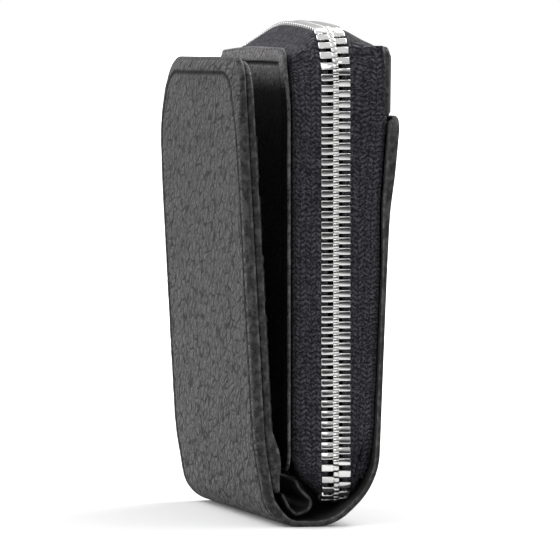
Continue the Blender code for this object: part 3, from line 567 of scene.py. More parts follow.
def rounded_grid(columns, rows, half, top_corner=0.0, low_corner=0.0, band=14.0 * MM):
    """A grid over a sheet whose ends are rounded: rows follow the round ends in a band near them."""
    across, along = np.meshgrid(columns, rows, indexing="ij")
    low, high = rows[0], rows[-1]
    if top_corner:
        share = np.clip((along - (high - band)) / band, 0.0, 1.0)
        along = along - corner_drop(across, half, top_corner) * share
    if low_corner:
        share = np.clip((low + band - along) / band, 0.0, 1.0)
        along = along + corner_drop(across, half, low_corner) * share
    return across, along


def rim_distance(across, along, half, low, high, top_corner=0.0, low_corner=0.0):
    """Distance from each point to the nearest edge of a sheet with round corners."""
    def end_distance(gap, corner):
        beyond = np.stack([np.abs(across) - (half - corner), corner - gap])
        outside = np.hypot(*np.clip(beyond, 0.0, None))
        return corner - outside - np.clip(beyond.max(axis=0), None, 0.0)

    return np.clip(np.minimum(end_distance(high - along, top_corner), end_distance(along - low, low_corner)),
                   0.0, None)


def ripple(across, along, size, seed):
    """Slow unevenness over a sheet, from -1 to 1."""
    flat = [noise.noise(Vector((a / size, b / size, seed))) for a, b in zip(across.ravel(), along.ravel())]
    return np.array(flat).reshape(across.shape)


def pebbles(across, along, size, seed):
    """Height of a pebbled grain over a sheet, from 0 in its creases to 1 on its pebbles."""
    heights = []
    for a, b in zip(across.ravel(), along.ravel()):
        distances = noise.voronoi(Vector((a / size, b / size, seed)))[0]
        heights.append(distances[1] - distances[0])
    return smooth(np.array(heights).reshape(across.shape) / 0.35)


def facing_out(points, faces):
    """True if a closed mesh's faces point outward."""
    triangles = [(face[0], face[1], face[2]) for face in faces]
    triangles += [(face[0], face[2], face[3]) for face in faces if len(face) == 4]
    first, second, third = points[np.array(triangles).T]
    return np.einsum("ij,ij->i", first, np.cross(second, third)).sum() > 0


def add_mesh(name, points, faces, finishes, face_finishes=None, layers=None):
    """A closed smooth-shaded piece with its finishes and its point layers, its faces turned outward."""
    points = np.asarray(points, float)
    mesh = bpy.data.meshes.new(name)
    way = 1 if facing_out(points, faces) else -1
    mesh.from_pydata(points.tolist(), [], [tuple(int(i) for i in face[::way]) for face in faces])
    for name_of_finish in finishes:
        mesh.materials.append(finish(name_of_finish))
    if face_finishes is not None:
        mesh.polygons.foreach_set("material_index", np.asarray(face_finishes, np.int32))
    for layer, values in (layers or {}).items():
        kind, key = ("FLOAT_VECTOR", "vector") if np.ndim(values) == 2 else ("FLOAT", "value")
        store = mesh.attributes.new(layer, kind, "POINT")
        store.data.foreach_set(key, np.ravel(values).astype(np.float32))
    mesh.shade_smooth()
    mesh.validate()
    mesh.update()
    return placed(name, mesh)


def placed(name, data):
    """An object of this name in the scene."""
    made = bpy.data.objects.new(name, data)
    bpy.context.scene.collection.objects.link(made)
    return made


def add_sheet(name, grid, place, outer, inner, finishes, roll, rim, steps=6, ridge=0.8):
    """A closed sheet over a grid, with its outer and inner depth at each point and a rolled rim.

    finishes are those of the outer face, the inner face and the rim. roll is how far the rim bulges,
    and ridge is where round the rim, from 0 outside to 1 inside, its painted highlight line runs.
    """
    across, along = grid
    wide, tall = across.shape
    outer = np.broadcast_to(outer, across.shape)
    inner = np.broadcast_to(inner, across.shape)
    loop = [(i, 0) for i in range(wide)] + [(wide - 1, j) for j in range(1, tall)]
    loop += [(i, tall - 1) for i in range(wide - 2, -1, -1)] + [(0, j) for j in range(tall - 2, 0, -1)]
    li, lj = np.array(loop).T
    edge_a, edge_b = across[li, lj], along[li, lj]
    run_a = np.roll(edge_a, -1) - np.roll(edge_a, 1)
    run_b = np.roll(edge_b, -1) - np.roll(edge_b, 1)
    length = np.hypot(run_a, run_b)
    out_a, out_b = run_b / length, -run_a / length

    points = [place(across, along, outer).reshape(-1, 3), place(across, along, inner).reshape(-1, 3)]
    spots = [np.stack([across, along, outer], axis=-1).reshape(-1, 3)]
    spots.append(np.stack([across, along, inner], axis=-1).reshape(-1, 3))
    rims = [rim.ravel(), rim.ravel()]
    ridges = [np.zeros(2 * rim.size)]
    start, end = outer[li, lj], inner[li, lj]
    for step in range(1, steps):
        angle = math.pi * step / steps
        a = edge_a + out_a * roll * math.sin(angle)
        b = edge_b + out_b * roll * math.sin(angle)
        depth = start + (end - start) * (1.0 - math.cos(angle)) / 2.0
        points.append(place(a, b, depth))
        spots.append(np.stack([a, b, depth], axis=-1))
        rims.append(np.zeros(len(loop)))
        ridges.append(np.full(len(loop), bell(step / steps - ridge, 0.16)))

    number = np.arange(wide * tall).reshape(wide, tall)
    quads = np.stack([number[:-1, :-1], number[1:, :-1], number[1:, 1:], number[:-1, 1:]], axis=-1)
    outer_faces = quads.reshape(-1, 4)
    inner_faces = outer_faces[:, ::-1] + wide * tall
    edge = number[li, lj]
    rings = [edge]
    rings += [2 * wide * tall + step * len(loop) + np.arange(len(loop)) for step in range(steps - 1)]
    rings.append(edge + wide * tall)
    sides = [np.stack([first, second, np.roll(second, -1), np.roll(first, -1)], axis=-1)
             for first, second in zip(rings, rings[1:])]
    sides = np.concatenate(sides)
    faces = np.concatenate([outer_faces, inner_faces, sides])
    kinds = [0] * len(outer_faces) + [1] * len(inner_faces) + [2] * len(sides)
    layers = {"spot": np.concatenate(spots), "rim": np.concatenate(rims), "ridge": np.concatenate(ridges)}
    return add_mesh(name, np.concatenate(points), faces, finishes, kinds, layers)


def turned_border(rim, roll):
    """Outward relief of a leather edge that is turned in and creased, by distance from the edge."""
    size = sizes()
    inset = size.crease_inset
    over = roll * np.clip(1.0 - rim / inset, 0.0, None) ** 2
    crease = size.crease_depth * bell(rim - inset, CREASE_WIDTH)
    return size.border_swell * smooth((inset - rim) / MM) - over - crease


class Wiring:
    """A node tree, with short ways to add nodes and to join them."""

    def __init__(self, tree):
        self.tree = tree

    def join(self, value, socket):
        """Feed a socket from another one, or give it a number or a colour."""
        if isinstance(value, bpy.types.NodeSocket):
            self.tree.links.new(value, socket)
        else:
            socket.default_value = (*value, 1.0) if socket.type == "RGBA" and len(value) == 3 else value

    def add(self, kind, inputs=None, **settings):
        """A new node's outputs, with its settings and its inputs by name or number."""
        made = self.tree.nodes.new("ShaderNode" + kind)
        for key, value in settings.items():
            setattr(made, key, value)
        for key, value in (inputs or {}).items():
            self.join(value, made.inputs[key])
        return made.outputs

    def maths(self, operation, first, second=0.0, third=0.0):
        """A sum on numbers."""
        return self.add("Math", {0: first, 1: second, 2: third}, operation=operation)[0]

    def line(self, value, slope, start):
        """A value times a slope, plus a start."""
        return self.maths("MULTIPLY_ADD", value, slope, start)

    def times(self, first, second):
        """One value times another."""
        return self.maths("MULTIPLY", first, second)

    def rest(self, value):
        """What is left of 1."""
        return self.maths("SUBTRACT", 1.0, value)

    def vector(self, operation, first, second, output=0):
        """A sum on vectors."""
        return self.add("VectorMath", {0: first, 1: second}, operation=operation)[output]

    def scale(self, vector, factor):
        """A vector times a number."""
        return self.add("VectorMath", {0: vector, "Scale": factor}, operation="SCALE")[0]

    def parts(self, vector):
        """A vector's X, Y and Z."""
        return self.add("SeparateXYZ", {0: vector})

    def remap(self, value, low, high, to_low=0.0, to_high=1.0, kind="SMOOTHSTEP"):
        """A value's place between low and high, on another scale."""
        inputs = {"Value": value, "From Min": low, "From Max": high, "To Min": to_low, "To Max": to_high}
        return self.add("MapRange", inputs, interpolation_type=kind)["Result"]

    def noise(self, spot, scale, detail, output="Fac"):
        """Cloudy noise."""
        return self.add("TexNoise", {"Vector": spot, "Scale": scale, "Detail": detail})[output]

    def wandering(self, spot, scale, detail, reach):
        """A spot moved about by noise."""
        drift = self.vector("SUBTRACT", self.noise(spot, scale, detail, "Color"), (0.5, 0.5, 0.5))
        return self.vector("ADD", spot, self.scale(drift, reach))

    def cells(self, spot, scale):
        """Distance from the edge of the nearest cell."""
        inputs = {"Vector": spot, "Scale": scale}
        return self.add("TexVoronoi", inputs, feature="DISTANCE_TO_EDGE")["Distance"]

    def mix(self, factor, first, second):
        """A mix of two colours."""
        return self.add("Mix", {0: factor, 6: first, 7: second}, data_type="RGBA")[2]

    def shades(self, factor, colour, dark, pale):
        """A colour that goes from a darker to a paler shade."""
        return self.mix(factor, lighter(colour, dark), lighter(colour, pale))

    def layer(self, name, output="Fac"):
        """A point layer of the mesh."""
        return self.add("Attribute", attribute_name=name)[output]

    def spot(self):
        """Where on its sheet a point lies."""
        return self.layer("spot", "Vector")

    def bump(self, height, distance, strength=1.0):
        """The normal of a surface with this relief."""
        return self.add("Bump", {"Height": height, "Strength": strength, "Distance": distance})["Normal"]

    def effect(self, name, **values):
        """The outputs of a shared effect, placed with its own values."""
        made = self.tree.nodes.new("ShaderNodeGroup")
        made.node_tree = effect_group(name)
        for key, value in values.items():
            self.join(value, made.inputs[key])
        return made.outputs


def lighter(colour, factor):
    """A colour times a factor, kept below 1."""
    return tuple(min(channel * factor, 1.0) for channel in colour)


def grain(wires, start):
    """Pebbled leather grain: its height, its creases and slow mottling."""
    parts = wires.parts(start["Spot"])
    leaning = wires.line(parts["Y"], start["Lean"], wires.times(parts["X"], start["Stretch"]))
    stretched = wires.add("CombineXYZ", {"X": leaning, "Y": parts["Y"], "Z": parts["Z"]})[0]
    spot = wires.scale(stretched, wires.maths("DIVIDE", 1.0, start["Cell"]))
    bent = wires.wandering(spot, 1.1, 2.0, start["Wander"])
    large, small = wires.cells(bent, 1.0), wires.cells(bent, 2.1)
    broken = wires.remap(wires.noise(spot, 0.9, 2.0), 0.35, 0.62)
    height = wires.times(wires.remap(large, 0.0, 0.32), wires.line(broken, 0.42, 0.16))
    height = wires.line(wires.remap(small, 0.0, 0.22), wires.line(broken, -0.10, 0.26), height)
    height = wires.line(wires.noise(spot, 5.0, 4.0), 0.20, height)
    height = wires.line(wires.noise(spot, 0.8, 1.0), 0.45, height)
    crack = wires.times(wires.rest(wires.remap(large, 0.0, 0.2)), broken)
    fine = wires.times(wires.rest(wires.remap(small, 0.0, 0.2)), wires.line(broken, -0.45, 0.65))
    return {"Height": height, "Crease": wires.maths("MAXIMUM", crack, fine),
            "Mottle": wires.noise(spot, 0.3, 5.0)}


def edge_glint_and_wear(wires, start):
    """Painted highlight flecks along a rim's ridge line, and a fainter broken wear over the whole rim."""
    near = wires.remap(start["Rim"], 0.0, start["Reach"], 1.0, 0.0)
    spot = wires.scale(start["Spot"], wires.maths("DIVIDE", 1.0, start["Patch Size"]))
    broken = wires.remap(wires.noise(spot, 1.0, 4.0), 0.42, 0.66)
    # Painted highlight: a broken line along the ridge, where the rim catches the light.
    line = wires.times(start["Ridge"], wires.line(broken, 0.75, 0.25))
    return {"Wear": wires.maths("MAXIMUM", line, wires.times(wires.times(near, broken), 0.3))}


def herringbone(wires, start):
    """Woven herringbone: its height, and the shade of each rib."""
    parts = wires.parts(wires.wandering(start["Spot"], 1300.0, 1.0, 0.45 * MM))
    zigzag = wires.maths("PINGPONG", parts["X"], start["Column"])
    turns = wires.maths("DIVIDE", wires.line(zigzag, 0.55, parts["Y"]), start["Pitch"])
    rib = wires.line(wires.maths("SINE", wires.times(turns, 2 * math.pi)), 0.5, 0.5)
    furrow = wires.maths("ABSOLUTE", wires.line(wires.maths("DIVIDE", zigzag, start["Column"]), 2.0, -1.0))
    hump = wires.rest(wires.maths("POWER", furrow, 4.0))
    fuzz = wires.noise(start["Spot"], 2700.0, 3.0)
    patch = wires.remap(wires.noise(start["Spot"], 620.0, 2.0), 0.32, 0.66, 0.2, 1.0)
    body = wires.times(wires.times(rib, hump), patch)
    return {"Height": wires.line(fuzz, 0.35, wires.times(body, 0.75)),
            "Shade": wires.line(wires.remap(fuzz, 0.46, 0.66), 0.55, wires.times(body, 0.55))}


def plain_weave(wires, start):
    """Plain lining weave: over and under threads."""
    turns = wires.maths("DIVIDE", math.pi, start["Thread"])
    parts = wires.parts(start["Spot"])
    warp, weft = (wires.maths("SINE", wires.times(parts[axis], turns)) for axis in "XY")
    height = wires.line(wires.times(warp, weft), 0.5, 0.5)
    slub = wires.noise(start["Spot"], 350.0, 3.0)
    return {"Height": height, "Shade": wires.line(slub, 0.6, wires.times(height, 0.4))}


EFFECTS = {
    "Leather Grain": (grain, {"Spot": None, "Cell": 1.9 * MM, "Wander": 0.5, "Stretch": 0.6, "Lean": 0.45}),
    "Edge Glint And Wear": (edge_glint_and_wear, {"Rim": 1.0, "Ridge": 0.0, "Spot": None, "Reach": 0.6 * MM,
                              "Patch Size": 1.3 * MM}),
    "Herringbone Weave": (herringbone, {"Spot": None, "Pitch": 1.05 * MM, "Column": 1.2 * MM}),
    "Plain Weave": (plain_weave, {"Spot": None, "Thread": 0.35 * MM}),
}


def effect_group(name):
    """The shader node group of a shared effect, built on first use."""
    group = bpy.data.node_groups.get(name)
    if group:
        return group
    group = bpy.data.node_groups.new(name, "ShaderNodeTree")
    fill, inputs = EFFECTS[name]
    for label, default in inputs.items():
        kind = "NodeSocketVector" if default is None else "NodeSocketFloat"
        socket = group.interface.new_socket(name=label, in_out="INPUT", socket_type=kind)
        if default is not None:
            socket.default_value = default
    wires = Wiring(group)
    end = group.nodes.new("NodeGroupOutput")
    for label, value in fill(wires, group.nodes.new("NodeGroupInput").outputs).items():
        group.interface.new_socket(name=label, in_out="OUTPUT", socket_type="NodeSocketFloat")
        wires.join(value, end.inputs[label])
    return group


def leather(colour, cell, depth, roughness, stretch=0.6, shine=0.45, glint_and_wear_paleness=6.0, painted_shade_heights=None):
    """Grained leather: painted shade in its border crease, and painted highlight mixed with wear on its rims.

    painted_shade_heights holds the two heights between which painted shade gives way to the leather's colour.
    """
    def wire(wires):
        spot, rim = wires.spot(), wires.layer("rim")
        grained = wires.effect("Leather Grain", Spot=spot, Cell=cell, Stretch=stretch)
        glint_and_wear = wires.effect("Edge Glint And Wear", Rim=rim, Ridge=wires.layer("ridge"), Spot=spot)["Wear"]
        shown = wires.shades(grained["Mottle"], colour, 0.55, 1.7)
        # Darker in the grain's creases: partly the leather's own tone, partly painted shade in the hollows.
        shown = wires.mix(wires.times(grained["Crease"], 0.85), shown, lighter(colour, 0.1))
        # Painted shade: darker along the border crease, where shade falls in the groove.
        beside = wires.maths("ABSOLUTE", wires.maths("SUBTRACT", rim, sizes().crease_inset))
        border = wires.remap(beside, 0.15 * MM, 0.75 * MM, 0.97, 0.0)
        shown = wires.mix(border, shown, lighter(colour, 0.15))
        # Painted highlight along each rim's ridge line, with broken wear, both paler than the leather.
        shown = wires.mix(glint_and_wear, shown, lighter(colour, glint_and_wear_paleness))
        # Painted shade: below these heights the colour drops to near black, where shade falls behind the
        # flap.
        if painted_shade_heights:
            shown = wires.mix(wires.remap(wires.parts(spot)["Y"], *painted_shade_heights), lighter(colour, 0.025), shown)
        rough = wires.line(wires.maths("MAXIMUM", grained["Crease"], border), 0.4, roughness)
        rough = wires.line(glint_and_wear, -0.12, wires.line(grained["Mottle"], 0.10, rough))
        return {"Base Color": shown, "Roughness": rough, "Specular IOR Level": shine,
                "Normal": wires.bump(grained["Height"], depth)}
    return wire


def lining(wires):
    """The pouch's plain woven lining."""
    weave = wires.effect("Plain Weave", Spot=wires.spot(), Thread=0.35 * MM)
    return {"Base Color": wires.shades(weave["Shade"], colours().lining, 0.5, 1.6),
            "Roughness": wires.line(weave["Height"], -0.12, 0.85),
            "Sheen Weight": 0.04, "Sheen Roughness": 0.5,
            "Normal": wires.bump(weave["Height"], 0.06 * MM, 0.8)}


def tape(wires):
    """The zip tapes' herringbone weave."""
    size = sizes()
    weave = wires.effect("Herringbone Weave", Spot=wires.spot(), Pitch=size.weave_pitch,
                         Column=size.weave_column)
    return {"Base Color": wires.shades(weave["Shade"], colours().tape, 0.25, 3.9),
            "Roughness": wires.line(weave["Height"], -0.18, 0.82), "Specular IOR Level": 0.15,
            "Normal": wires.bump(weave["Height"], 0.28 * MM)}


def metal(roughness):
    """Polished metal with hairlines and a little tarnish."""
    def wire(wires):
        spot = wires.add("TexCoord")["Object"]
        stretched = wires.add("Mapping", {"Vector": spot, "Scale": (400.0, 400.0, 5200.0)})[0]
        hairline = wires.noise(stretched, 1.0, 3.0)
        tarnish = wires.remap(wires.noise(spot, 260.0, 4.0), 0.5, 0.75)
        return {"Base Color": wires.shades(tarnish, colours().metal, 1.0, 0.78), "Metallic": 1.0,
                "Roughness": wires.line(hairline, 0.08, wires.line(tarnish, 0.14, roughness)),
                "Normal": wires.bump(hairline, 0.01 * MM, 0.25)}
    return wire


def thread(wires):
    """Waxed thread, twisted along its length."""
    parts = wires.parts(wires.spot())
    turn = wires.line(parts["X"], 14000.0, wires.times(parts["Y"], 2.0))
    twist = wires.maths("ABSOLUTE", wires.maths("SINE", turn))
    return {"Base Color": wires.shades(twist, colours().thread, 0.5, 1.8),
            "Roughness": wires.remap(twist, 0.0, 1.0, 0.72, 0.5), "Normal": wires.bump(twist, 0.05 * MM, 0.7)}


def board(wires):
    """Grey board that stiffens the flap."""
    fibre = wires.noise(wires.add("TexCoord")["Object"], 900.0, 6.0)
    return {"Base Color": wires.mix(fibre, (0.03, 0.028, 0.026), (0.09, 0.085, 0.08)),
            "Roughness": wires.remap(fibre, 0.3, 0.7, 0.8, 0.95), "Normal": wires.bump(fibre, 0.05 * MM, 0.4)}


def recipes():
    """How each finish is made, by its name."""
    paint, size = colours(), sizes()
    return {
        "outer_leather": leather(paint.outer_leather, size.grain_cell, size.grain_depth, 0.5, 0.6, 0.28, 1.6),
        "inner_leather": leather(paint.inner_leather, 1.1 * MM, 0.12 * MM, 0.46, 1.0, 0.3),
        # Painted highlight on the top band, 11 times the inner leather, and painted shade below it behind the
        # flap.
        "pouch_leather_painted_light": leather(lighter(paint.inner_leather, 11.0), 1.3 * MM, 0.2 * MM, 0.62, 1.0, 0.08, 1.5,
                                 (86.5 * MM, 93.5 * MM)),
        "edge_paint": leather(paint.edge_paint, 0.9 * MM, 0.16 * MM, 0.46, 0.6, 0.35, 10.0),
        # Painted highlight: edge paint 4.5 times paler, for the pouch front's rim where it catches the light.
        "lit_edge_paint": leather(lighter(paint.edge_paint, 4.5), 0.9 * MM, 0.16 * MM, 0.42, 0.6, 0.4, 5.0),
        "lining_cloth": lining,
        "tape_weave": tape,
        "zip_metal": metal(0.16),
        "slider_metal": metal(0.2),
        "sewing_thread": thread,
        "grey_board": board,
    }


def finish(name):
    """The finish of this name, made on first use."""
    made = bpy.data.materials.get(name)
    if not made:
        made = bpy.data.materials.new(name)
        made.use_nodes = True
        wires = Wiring(made.node_tree)
        for key, value in recipes()[name](wires).items():
            wires.join(value, made.node_tree.nodes["Principled BSDF"].inputs[key])
    return made


def grained_relief(grid, rim, roll, wave, seeds):
    """Outward relief of the outer leather: its turned border, its slow waves and its pebbles."""
    face = smooth(rim / FACE_FADE)
    relief = turned_border(rim, roll) + LEATHER_WAVE * ripple(*grid, wave, seeds[0]) * face
    return relief + PEBBLE_HEIGHT * (pebbles(*grid, sizes().grain_cell, seeds[1]) - 0.5) * face


def build_front_leather():
    """The flap's outer leather with its half of the spine, turned in round the flap."""
    half = COVER_HALF - COVER_LEATHER / 2
    high = FRONT_LINE.length - COVER_LEATHER / 2
    columns = corner_columns(half, COVER_CORNER, 0.7 * MM, 28)
    grid = rounded_grid(columns, stations(0.0, high, 0.75 * MM, FINE_STEP, 0.0, RIM_BAND), half, COVER_CORNER)
    lower = smooth((high - grid[1] - 4.5 * MM) / (13.0 * MM))
    narrow = BORDER_NARROW * (1.0 + 0.4 * lower)
    rim = rim_distance(grid[0] * narrow, grid[1], half * narrow + BORDER_SHIFT * lower, -NO_END, high,
                       BORDER_CORNER)
    relief = grained_relief(grid, rim, FLAP_ROLL, 16.0 * MM, (3.1, 7.0))
    rise = smooth((grid[1] - 4.0 * MM) / (14.0 * MM))
    turned = TURNED_LEATHER * smooth((TURNED_WIDTH - rim) / (0.5 * MM))
    turned = turned * smooth((grid[1] - 3.0 * MM) / (7.0 * MM))
    piece = add_sheet("front_leather", grid, front_place, -relief * rise, COVER_LEATHER + turned,
                      OUTER_FINISHES, COVER_LEATHER / 2, rim, 10)
    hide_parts("front_cover", "spine_cover")
    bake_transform(piece)


def build_rear_leather():
    """The rear outer leather with its half of the spine, up to the slip pocket's hemmed mouth."""
    half = COVER_HALF - COVER_LEATHER / 2
    high = BACK_LINE.length - COVER_LEATHER / 2
    columns = corner_columns(half, BACK_CORNER, 0.75 * MM, 16)
    grid = rounded_grid(columns, stations(0.0, high, 0.75 * MM, FINE_STEP, 0.0, RIM_BAND), half, BACK_CORNER)
    rim = rim_distance(*grid, half, -NO_END, high, BACK_CORNER)
    relief = grained_relief(grid, rim, 0.3 * MM, 15.0 * MM, (8.4, 2.0))
    rise = smooth((grid[1] - 6.0 * MM) / (12.0 * MM))
    hem = hem_thickness(grid[1], half - np.abs(grid[0]))
    swell = HEM_SWELL * smooth((grid[1] - (high - HEM_DEPTH)) / HEM_DEPTH)
    piece = add_sheet("rear_leather", grid, back_place, -relief * rise - swell, COVER_LEATHER + hem,
                      OUTER_FINISHES, COVER_LEATHER / 2, rim, 10)
    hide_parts("back_cover")
    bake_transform(piece)


def flap_start():
    """Distance along the front line at which the flap's own length begins."""
    return FRONT_LINE.length - FLAP_LENGTH


def build_card_panel():
    """The leather panel inside the flap, bound along its rim and padded at its foot."""
    half = COVER_HALF - PANEL_INSET - PANEL_LEATHER / 2
    low = flap_start() + 0.6 * MM
    high = FRONT_LINE.length - PANEL_TOP_INSET - PANEL_LEATHER / 2
    columns = corner_columns(half, PANEL_CORNER, 1.2 * MM, 22)
    grid = rounded_grid(columns, stations(low, high, 0.8 * MM, FINE_STEP, 0.0, RIM_BAND), half, PANEL_CORNER)
    rim = rim_distance(*grid, half, low - NO_END, high, PANEL_CORNER)
    bound = smooth((PANEL_RIM_WIDTH - rim) / (0.6 * MM))
    up = grid[1] - low
    padding = PANEL_PADDING * smooth(up / (6.0 * MM)) * smooth((14.0 * MM - up) / (7.0 * MM))
    wave = 0.06 * MM * np.abs(ripple(*grid, 9.0 * MM, 5.5))
    inner = PANEL_DEPTH + PANEL_LEATHER + (PANEL_RIM_IN + padding) * bound + wave
    piece = add_sheet("card_panel_leather", grid, front_place, PANEL_DEPTH - PANEL_RIM_OUT * bound, inner,
                      INNER_FINISHES, PANEL_LEATHER / 2, rim, 12)
    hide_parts("card_panel")
    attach(piece, "flap")


def pocket_span(number):
    """Where along the front line a card pocket starts and ends, and whether it is the last one."""
    top = flap_start() + POCKET_TOP - number * POCKET_STEP
    last = number == POCKETS - 1
    return flap_start() + POCKET_FOOT if last else top - POCKET_STEP - POCKET_TUCK, top, last


def pocket_depth(along, top, last):
    """Depth at which a card pocket lies over its panel or over the pocket behind it."""
    lift = POCKET_LEATHER + POCKET_GAP
    lapped = 1.0 + 0.0 * along if last else smooth((along - (top - POCKET_STEP)) / POCKET_RAMP)
    return PANEL_DEPTH + PANEL_LEATHER + POCKET_GAP + lift * lapped


def build_card_pockets():
    """Four shingled card pockets with folded tops."""
    half = POCKET_WIDTH / 2
    for number in range(POCKETS):
        foot, top, last = pocket_span(number)
        columns = stations(-half, half, 1.6 * MM, 0.5 * MM, 3.0 * MM, 3.0 * MM)
        rows = stations(foot, top - POCKET_LEATHER / 2, 1.2 * MM, FINE_STEP, 0.0, 3.0 * MM)
        grid = rounded_grid(columns, rows, half)
        below = top - grid[1]
        rim = np.clip(np.minimum(below, half - np.abs(grid[0])), 0.0, None)
        fold = 0.16 * MM * np.clip(1.0 - ((below - 0.9 * MM) / (0.9 * MM)) ** 2, 0.0, None)
        crease = 0.12 * MM * bell(below - 2.0 * MM, 0.22 * MM)
        depth = pocket_depth(grid[1], top, last)
        wave = 0.05 * MM * ripple(*grid, 12.0 * MM, 20.0 + number)
        inner = depth + POCKET_LEATHER + fold - crease + wave
        piece = add_sheet(f"card_pocket_{number + 1}_leather", grid, front_place, depth, inner,
                          INNER_FINISHES, POCKET_LEATHER / 2, rim)
        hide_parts(f"card_pocket_{number + 1}")
        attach(piece, "flap")


def build_fold_gusset():
    """The loop of thin leather between the flap's foot and the pouch's foot."""
    loop = Section(GUSSET_START, GUSSET_HEADING, GUSSET_MOVES, step=math.radians(6.0))

    def place(y, along, depth):
        x, z = loop.beside(along, depth)
        return framed(x, y, z)

    half = COVER_HALF - GUSSET_INSET
    columns = stations(-half, half, 1.6 * MM, 0.4 * MM, 2.0 * MM, 2.0 * MM)
    grid = rounded_grid(columns, stations(0.0, loop.length, 0.35 * MM), half)
    rim = np.clip(half - np.abs(grid[0]), 0.0, None)
    wave = 0.12 * MM * ripple(*grid, 7.0 * MM, 4.0)
    piece = add_sheet("fold_gusset_leather", grid, place, wave, wave + GUSSET_LEATHER, INNER_FINISHES,
                      GUSSET_LEATHER / 2, rim)
    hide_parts("fold_gusset")
    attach(piece, "spine")


def wall_values(side):
    """The word, body, outer plane and set-back from the zip of one wall of the pouch."""
    if side < 0:
        return "front", "spine", POUCH_FRONT, POUCH_SET_BACK
    return "back", "pouch_back", POUCH_BACK, POUCH_BACK_SET_BACK


def wall_place(side):
    """A function that places a point of a pouch wall by width, height and depth inward."""
    plane = wall_values(side)[2]
    return lambda y, z, depth: shape_pouch(plane - side * depth, y, z)


def build_pouch_leather(side):
    """One leather wall of the pouch, with a turned and creased border."""
    word, body, _, set_back = wall_values(side)
    roll = POUCH_LEATHER / 2
    half = ZIP_HALF_DEPTH - set_back - roll
    low = ZIP_BOTTOM + POUCH_SET_BACK + roll
    high = ZIP_TOP - (FRONT_TOP_SET_BACK if side < 0 else BACK_TOP_SET_BACK) - roll
    low_corner = ZIP_BOTTOM_CORNER - set_back
    columns = corner_columns(half, low_corner, 0.9 * MM, 22)
    rows = stations(low, high, 0.9 * MM, FINE_STEP, 4.5 * MM, 4.5 * MM)
    grid = rounded_grid(columns, rows, half, PANEL_TOP_CORNER, low_corner, 10.0 * MM)
    rim = rim_distance(*grid, half, low, high, PANEL_TOP_CORNER, low_corner)
    relief = turned_border(rim, 0.5 * MM) + 0.08 * MM * ripple(*grid, 13.0 * MM, 9.0 + side)
    piece = add_sheet(f"pouch_{word}_leather", grid, wall_place(side), -relief, POUCH_LEATHER,
                      POUCH_FRONT_FINISHES if side < 0 else INNER_FINISHES, roll, rim, 8)
    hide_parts(f"pouch_{word}_panel")
    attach(piece, body)


def cut_cloth(piece, width, length):
    """Work out the flat width a sewn-in cloth was cut to; the result is not kept."""
    area = sum(face.area for face in piece.data.polygons) / 2
    width = max(width, area / length)


def build_pouch_lining(side):
    """One lining wall of the pouch, a little slack."""
    word, body, _, set_back = wall_values(side)
    inset = set_back + LINING_INSET
    half, low, high = ZIP_HALF_DEPTH - inset, ZIP_BOTTOM + inset, ZIP_TOP - inset
    grid = rounded_grid(stations(-half, half, 1.1 * MM), stations(low, high, 1.1 * MM), half)
    rim = rim_distance(*grid, half, low, high)
    slack = LINING_SLACK * ripple(*grid, 11.0 * MM, 30.0 + side) * smooth(rim / (4.0 * MM))
    depth = POUCH_LEATHER + TAPE + 2 * GAP + np.abs(slack)
    piece = add_sheet(f"pouch_{word}_lining_cloth", grid, wall_place(side), depth, depth + POUCH_LINING,
                      LINING_FINISHES, POUCH_LINING / 2, rim, 4)
    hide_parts(f"pouch_{word}_lining")
    cut_cloth(piece, 2 * half, high - low)
    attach(piece, body)


def build_pouch_floor():
    """The pouch's floor, one cloth from wall to wall, turned up at both walls and pleated in its middle."""
    front = ZIP_PLANE - POUCH_FRONT - POUCH_LEATHER - GAP
    back = POUCH_BACK - ZIP_PLANE - POUCH_LEATHER - GAP
    moves = mirrored([FLOOR_RISE - FLOOR_TURN, (FLOOR_TURN, math.pi / 2)], front + back - 2 * FLOOR_TURN)
    line = Section((-front, FLOOR_LEVEL + FLOOR_RISE), -math.pi / 2, moves, beyond=0.5 * MM)

    def place(y, along, depth):
        x, z = line.beside(along, depth)
        return shape_pouch(ZIP_PLANE + x, y, z)

    half = ZIP_HALF_DEPTH - POUCH_SET_BACK - FLOOR_INSET
    grid = rounded_grid(stations(-half, half, 1.4 * MM), stations(0.0, line.length, 0.5 * MM), half)
    rim = np.clip(half - np.abs(grid[0]), 0.0, None)
    pleat = FLOOR_PLEAT * bell(grid[1] - line.length / 2, 1.5 * MM) * smooth(rim / (3.0 * MM))
    piece = add_sheet("pouch_floor_cloth", grid, place, pleat, pleat + TAPE, LINING_FINISHES, TAPE / 2,
                      rim, 4)
    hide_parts("pouch_floor_front", "pouch_floor_back")
    cut_cloth(piece, 2 * half, line.length)
    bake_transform(piece)


def rounded_path(points, rounds=3):
    """Cut the corners off a line of points, keeping its ends."""
    points = np.array(points, float)
    for _ in range(rounds):
        near = points[:-1] * 0.75 + points[1:] * 0.25
        far = points[:-1] * 0.25 + points[1:] * 0.75
        middle = np.stack([near, far], axis=1).reshape(-1, points.shape[1])
        points = np.concatenate([points[:1], middle, points[-1:]])
    return points


def run_lengths(points):
    """Distance along a line at each of its points."""
    return np.concatenate([[0.0], np.cumsum(np.linalg.norm(np.diff(points, axis=0), axis=1))])


def unit(vectors):
    """Vectors made 1 long."""
    return vectors / np.linalg.norm(vectors, axis=1)[:, None]


